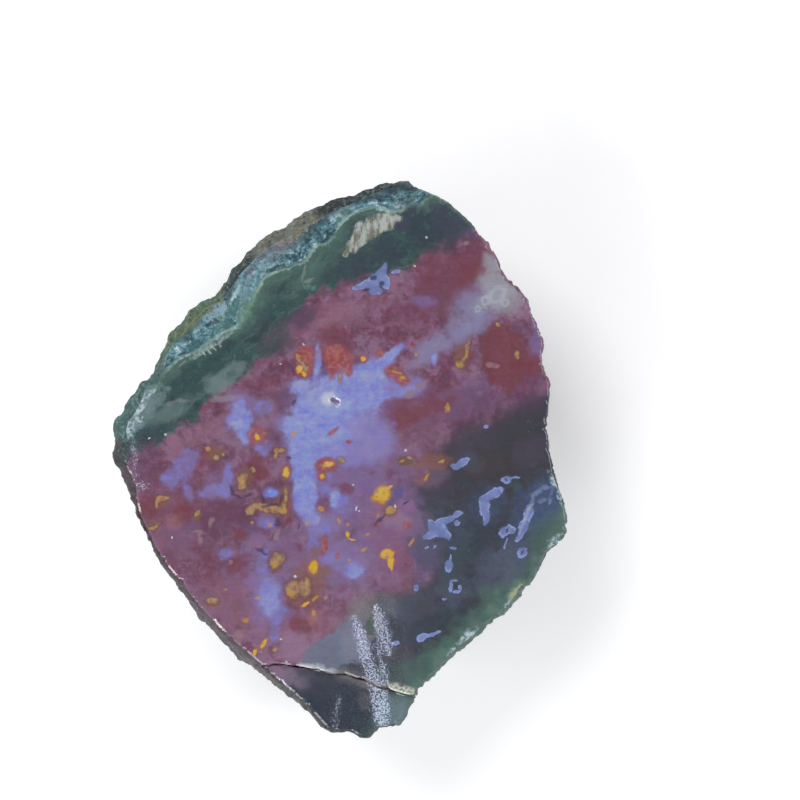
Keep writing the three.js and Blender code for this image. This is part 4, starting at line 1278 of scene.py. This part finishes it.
class AGATE_OT_stage(bpy.types.Operator):
    """Make the floor, the lights and the camera"""

    bl_idname = "agate.stage"
    bl_label = "Stage"

    def execute(self, context):
        scene = context.scene
        settings = scene.agate_stage
        scene.view_settings.view_transform = "Standard"
        self.make_floor(settings)
        self.make_world(scene)
        for lamp in LAMPS:
            turn = (Vector(lamp.target) - Vector(lamp.place)).to_track_quat("-Z", "Y").to_euler()
            hang_light(lamp.name, "RECTANGLE", lamp.place, turn, lamp.size, lamp.power)
        for streak in STREAKS:
            self.make_streak(streak, settings)
        self.make_camera(scene, settings)
        return {"FINISHED"}

    def make_floor(self, settings):
        floor = bmesh.new()
        bmesh.ops.create_grid(floor, x_segments=1, y_segments=1, size=settings.floor_size / 2)
        mesh = bpy.data.meshes.new("floor")
        floor.to_mesh(mesh)
        floor.free()
        material = bpy.data.materials.new("floor")
        material.use_nodes = True
        shader = material.node_tree.nodes["Principled BSDF"]
        for socket, value in {
            "Base Color": (*settings.floor_colour, 1), "Roughness": 0.9, "Specular IOR Level": 0,
            "Emission Color": (1, 1, 1, 1), "Emission Strength": settings.floor_glow,
        }.items():
            shader.inputs[socket].default_value = value
        mesh.materials.append(material)
        plane = bpy.data.objects.new("floor", mesh)
        bpy.context.scene.collection.objects.link(plane)

    def make_world(self, scene):
        """Bright round the horizon and dim overhead, so that the face mirrors a dark ceiling."""
        world = bpy.data.worlds.new("studio")
        world.use_nodes = True
        tree = world.node_tree
        tree.nodes.clear()
        n = Nodes(tree)
        height = n.parts(n.add("ShaderNodeTexCoord").outputs["Generated"])[2]
        sky = n.mix(n.step(height, 0.1, 0.75), HORIZON, CEILING)
        background = n.add("ShaderNodeBackground", {"Color": sky})
        output = n.add("ShaderNodeOutputWorld")
        n.put(background.outputs[0], output.inputs["Surface"])
        scene.world = world

    def make_streak(self, streak, settings):
        """A narrow light, as high as the camera, that the face mirrors to the camera along a line. It is
        twice as far from the picture's middle as the streak, and twice as large."""
        middle = Vector((settings.frame_x, settings.frame_y))
        start = Vector(on_face(*streak.start)) * MM
        end = Vector(on_face(*streak.end)) * MM
        place = middle + 2 * ((start + end) / 2 - middle)
        run = 2 * (end - start)
        size = (run.length, 2 * streak.width * PIXEL * MM)
        power = streak.glare * math.pi * size[0] * size[1]
        place = (*place, FACE * MM + settings.camera_height)
        turn = (0, 0, math.atan2(run.y, run.x))
        hang_light(streak.name, "ELLIPSE", place, turn, size, power, STREAK_TINT)

    def make_camera(self, scene, settings):
        camera = bpy.data.cameras.new("camera")
        camera.sensor_width = 36
        camera.lens = camera.sensor_width * settings.camera_height / settings.frame_width
        holder = bpy.data.objects.new("camera", camera)
        holder.location = (settings.frame_x, settings.frame_y, FACE * MM + settings.camera_height)
        scene.collection.objects.link(holder)
        scene.camera = holder


class AGATE_PT_sidebar(bpy.types.Panel):
    """The stone and its stage in the sidebar of the 3D view"""

    bl_label = "Agate"
    bl_idname = "AGATE_PT_sidebar"
    bl_space_type = "VIEW_3D"
    bl_region_type = "UI"
    bl_category = "Agate"

    def draw(self, context):
        scene = context.scene
        for operator in OPERATORS:
            self.layout.operator(operator.bl_idname)
        for group in (scene.agate_stone, scene.agate_stage, scene.agate_colours):
            for name in group.bl_rna.properties.keys():
                if name not in {"rna_type", "name"}:
                    self.layout.prop(group, name)


GROUPS = {
    "agate_colours": AgateColours,
    "agate_stone": AgateStoneSettings,
    "agate_stage": AgateStageSettings,
}
OPERATORS = (AGATE_OT_stone, AGATE_OT_stage)


def register():
    for made in (*GROUPS.values(), *OPERATORS, AGATE_PT_sidebar):
        bpy.utils.register_class(made)
    for name, group in GROUPS.items():
        setattr(bpy.types.Scene, name, PointerProperty(type=group))


def unregister():
    for name in GROUPS:
        delattr(bpy.types.Scene, name)
    for made in (AGATE_PT_sidebar, *OPERATORS, *GROUPS.values()):
        bpy.utils.unregister_class(made)


def main():
    register()
    bpy.ops.agate.stone()
    bpy.ops.agate.stage()


if __name__ == "__main__":
    main()
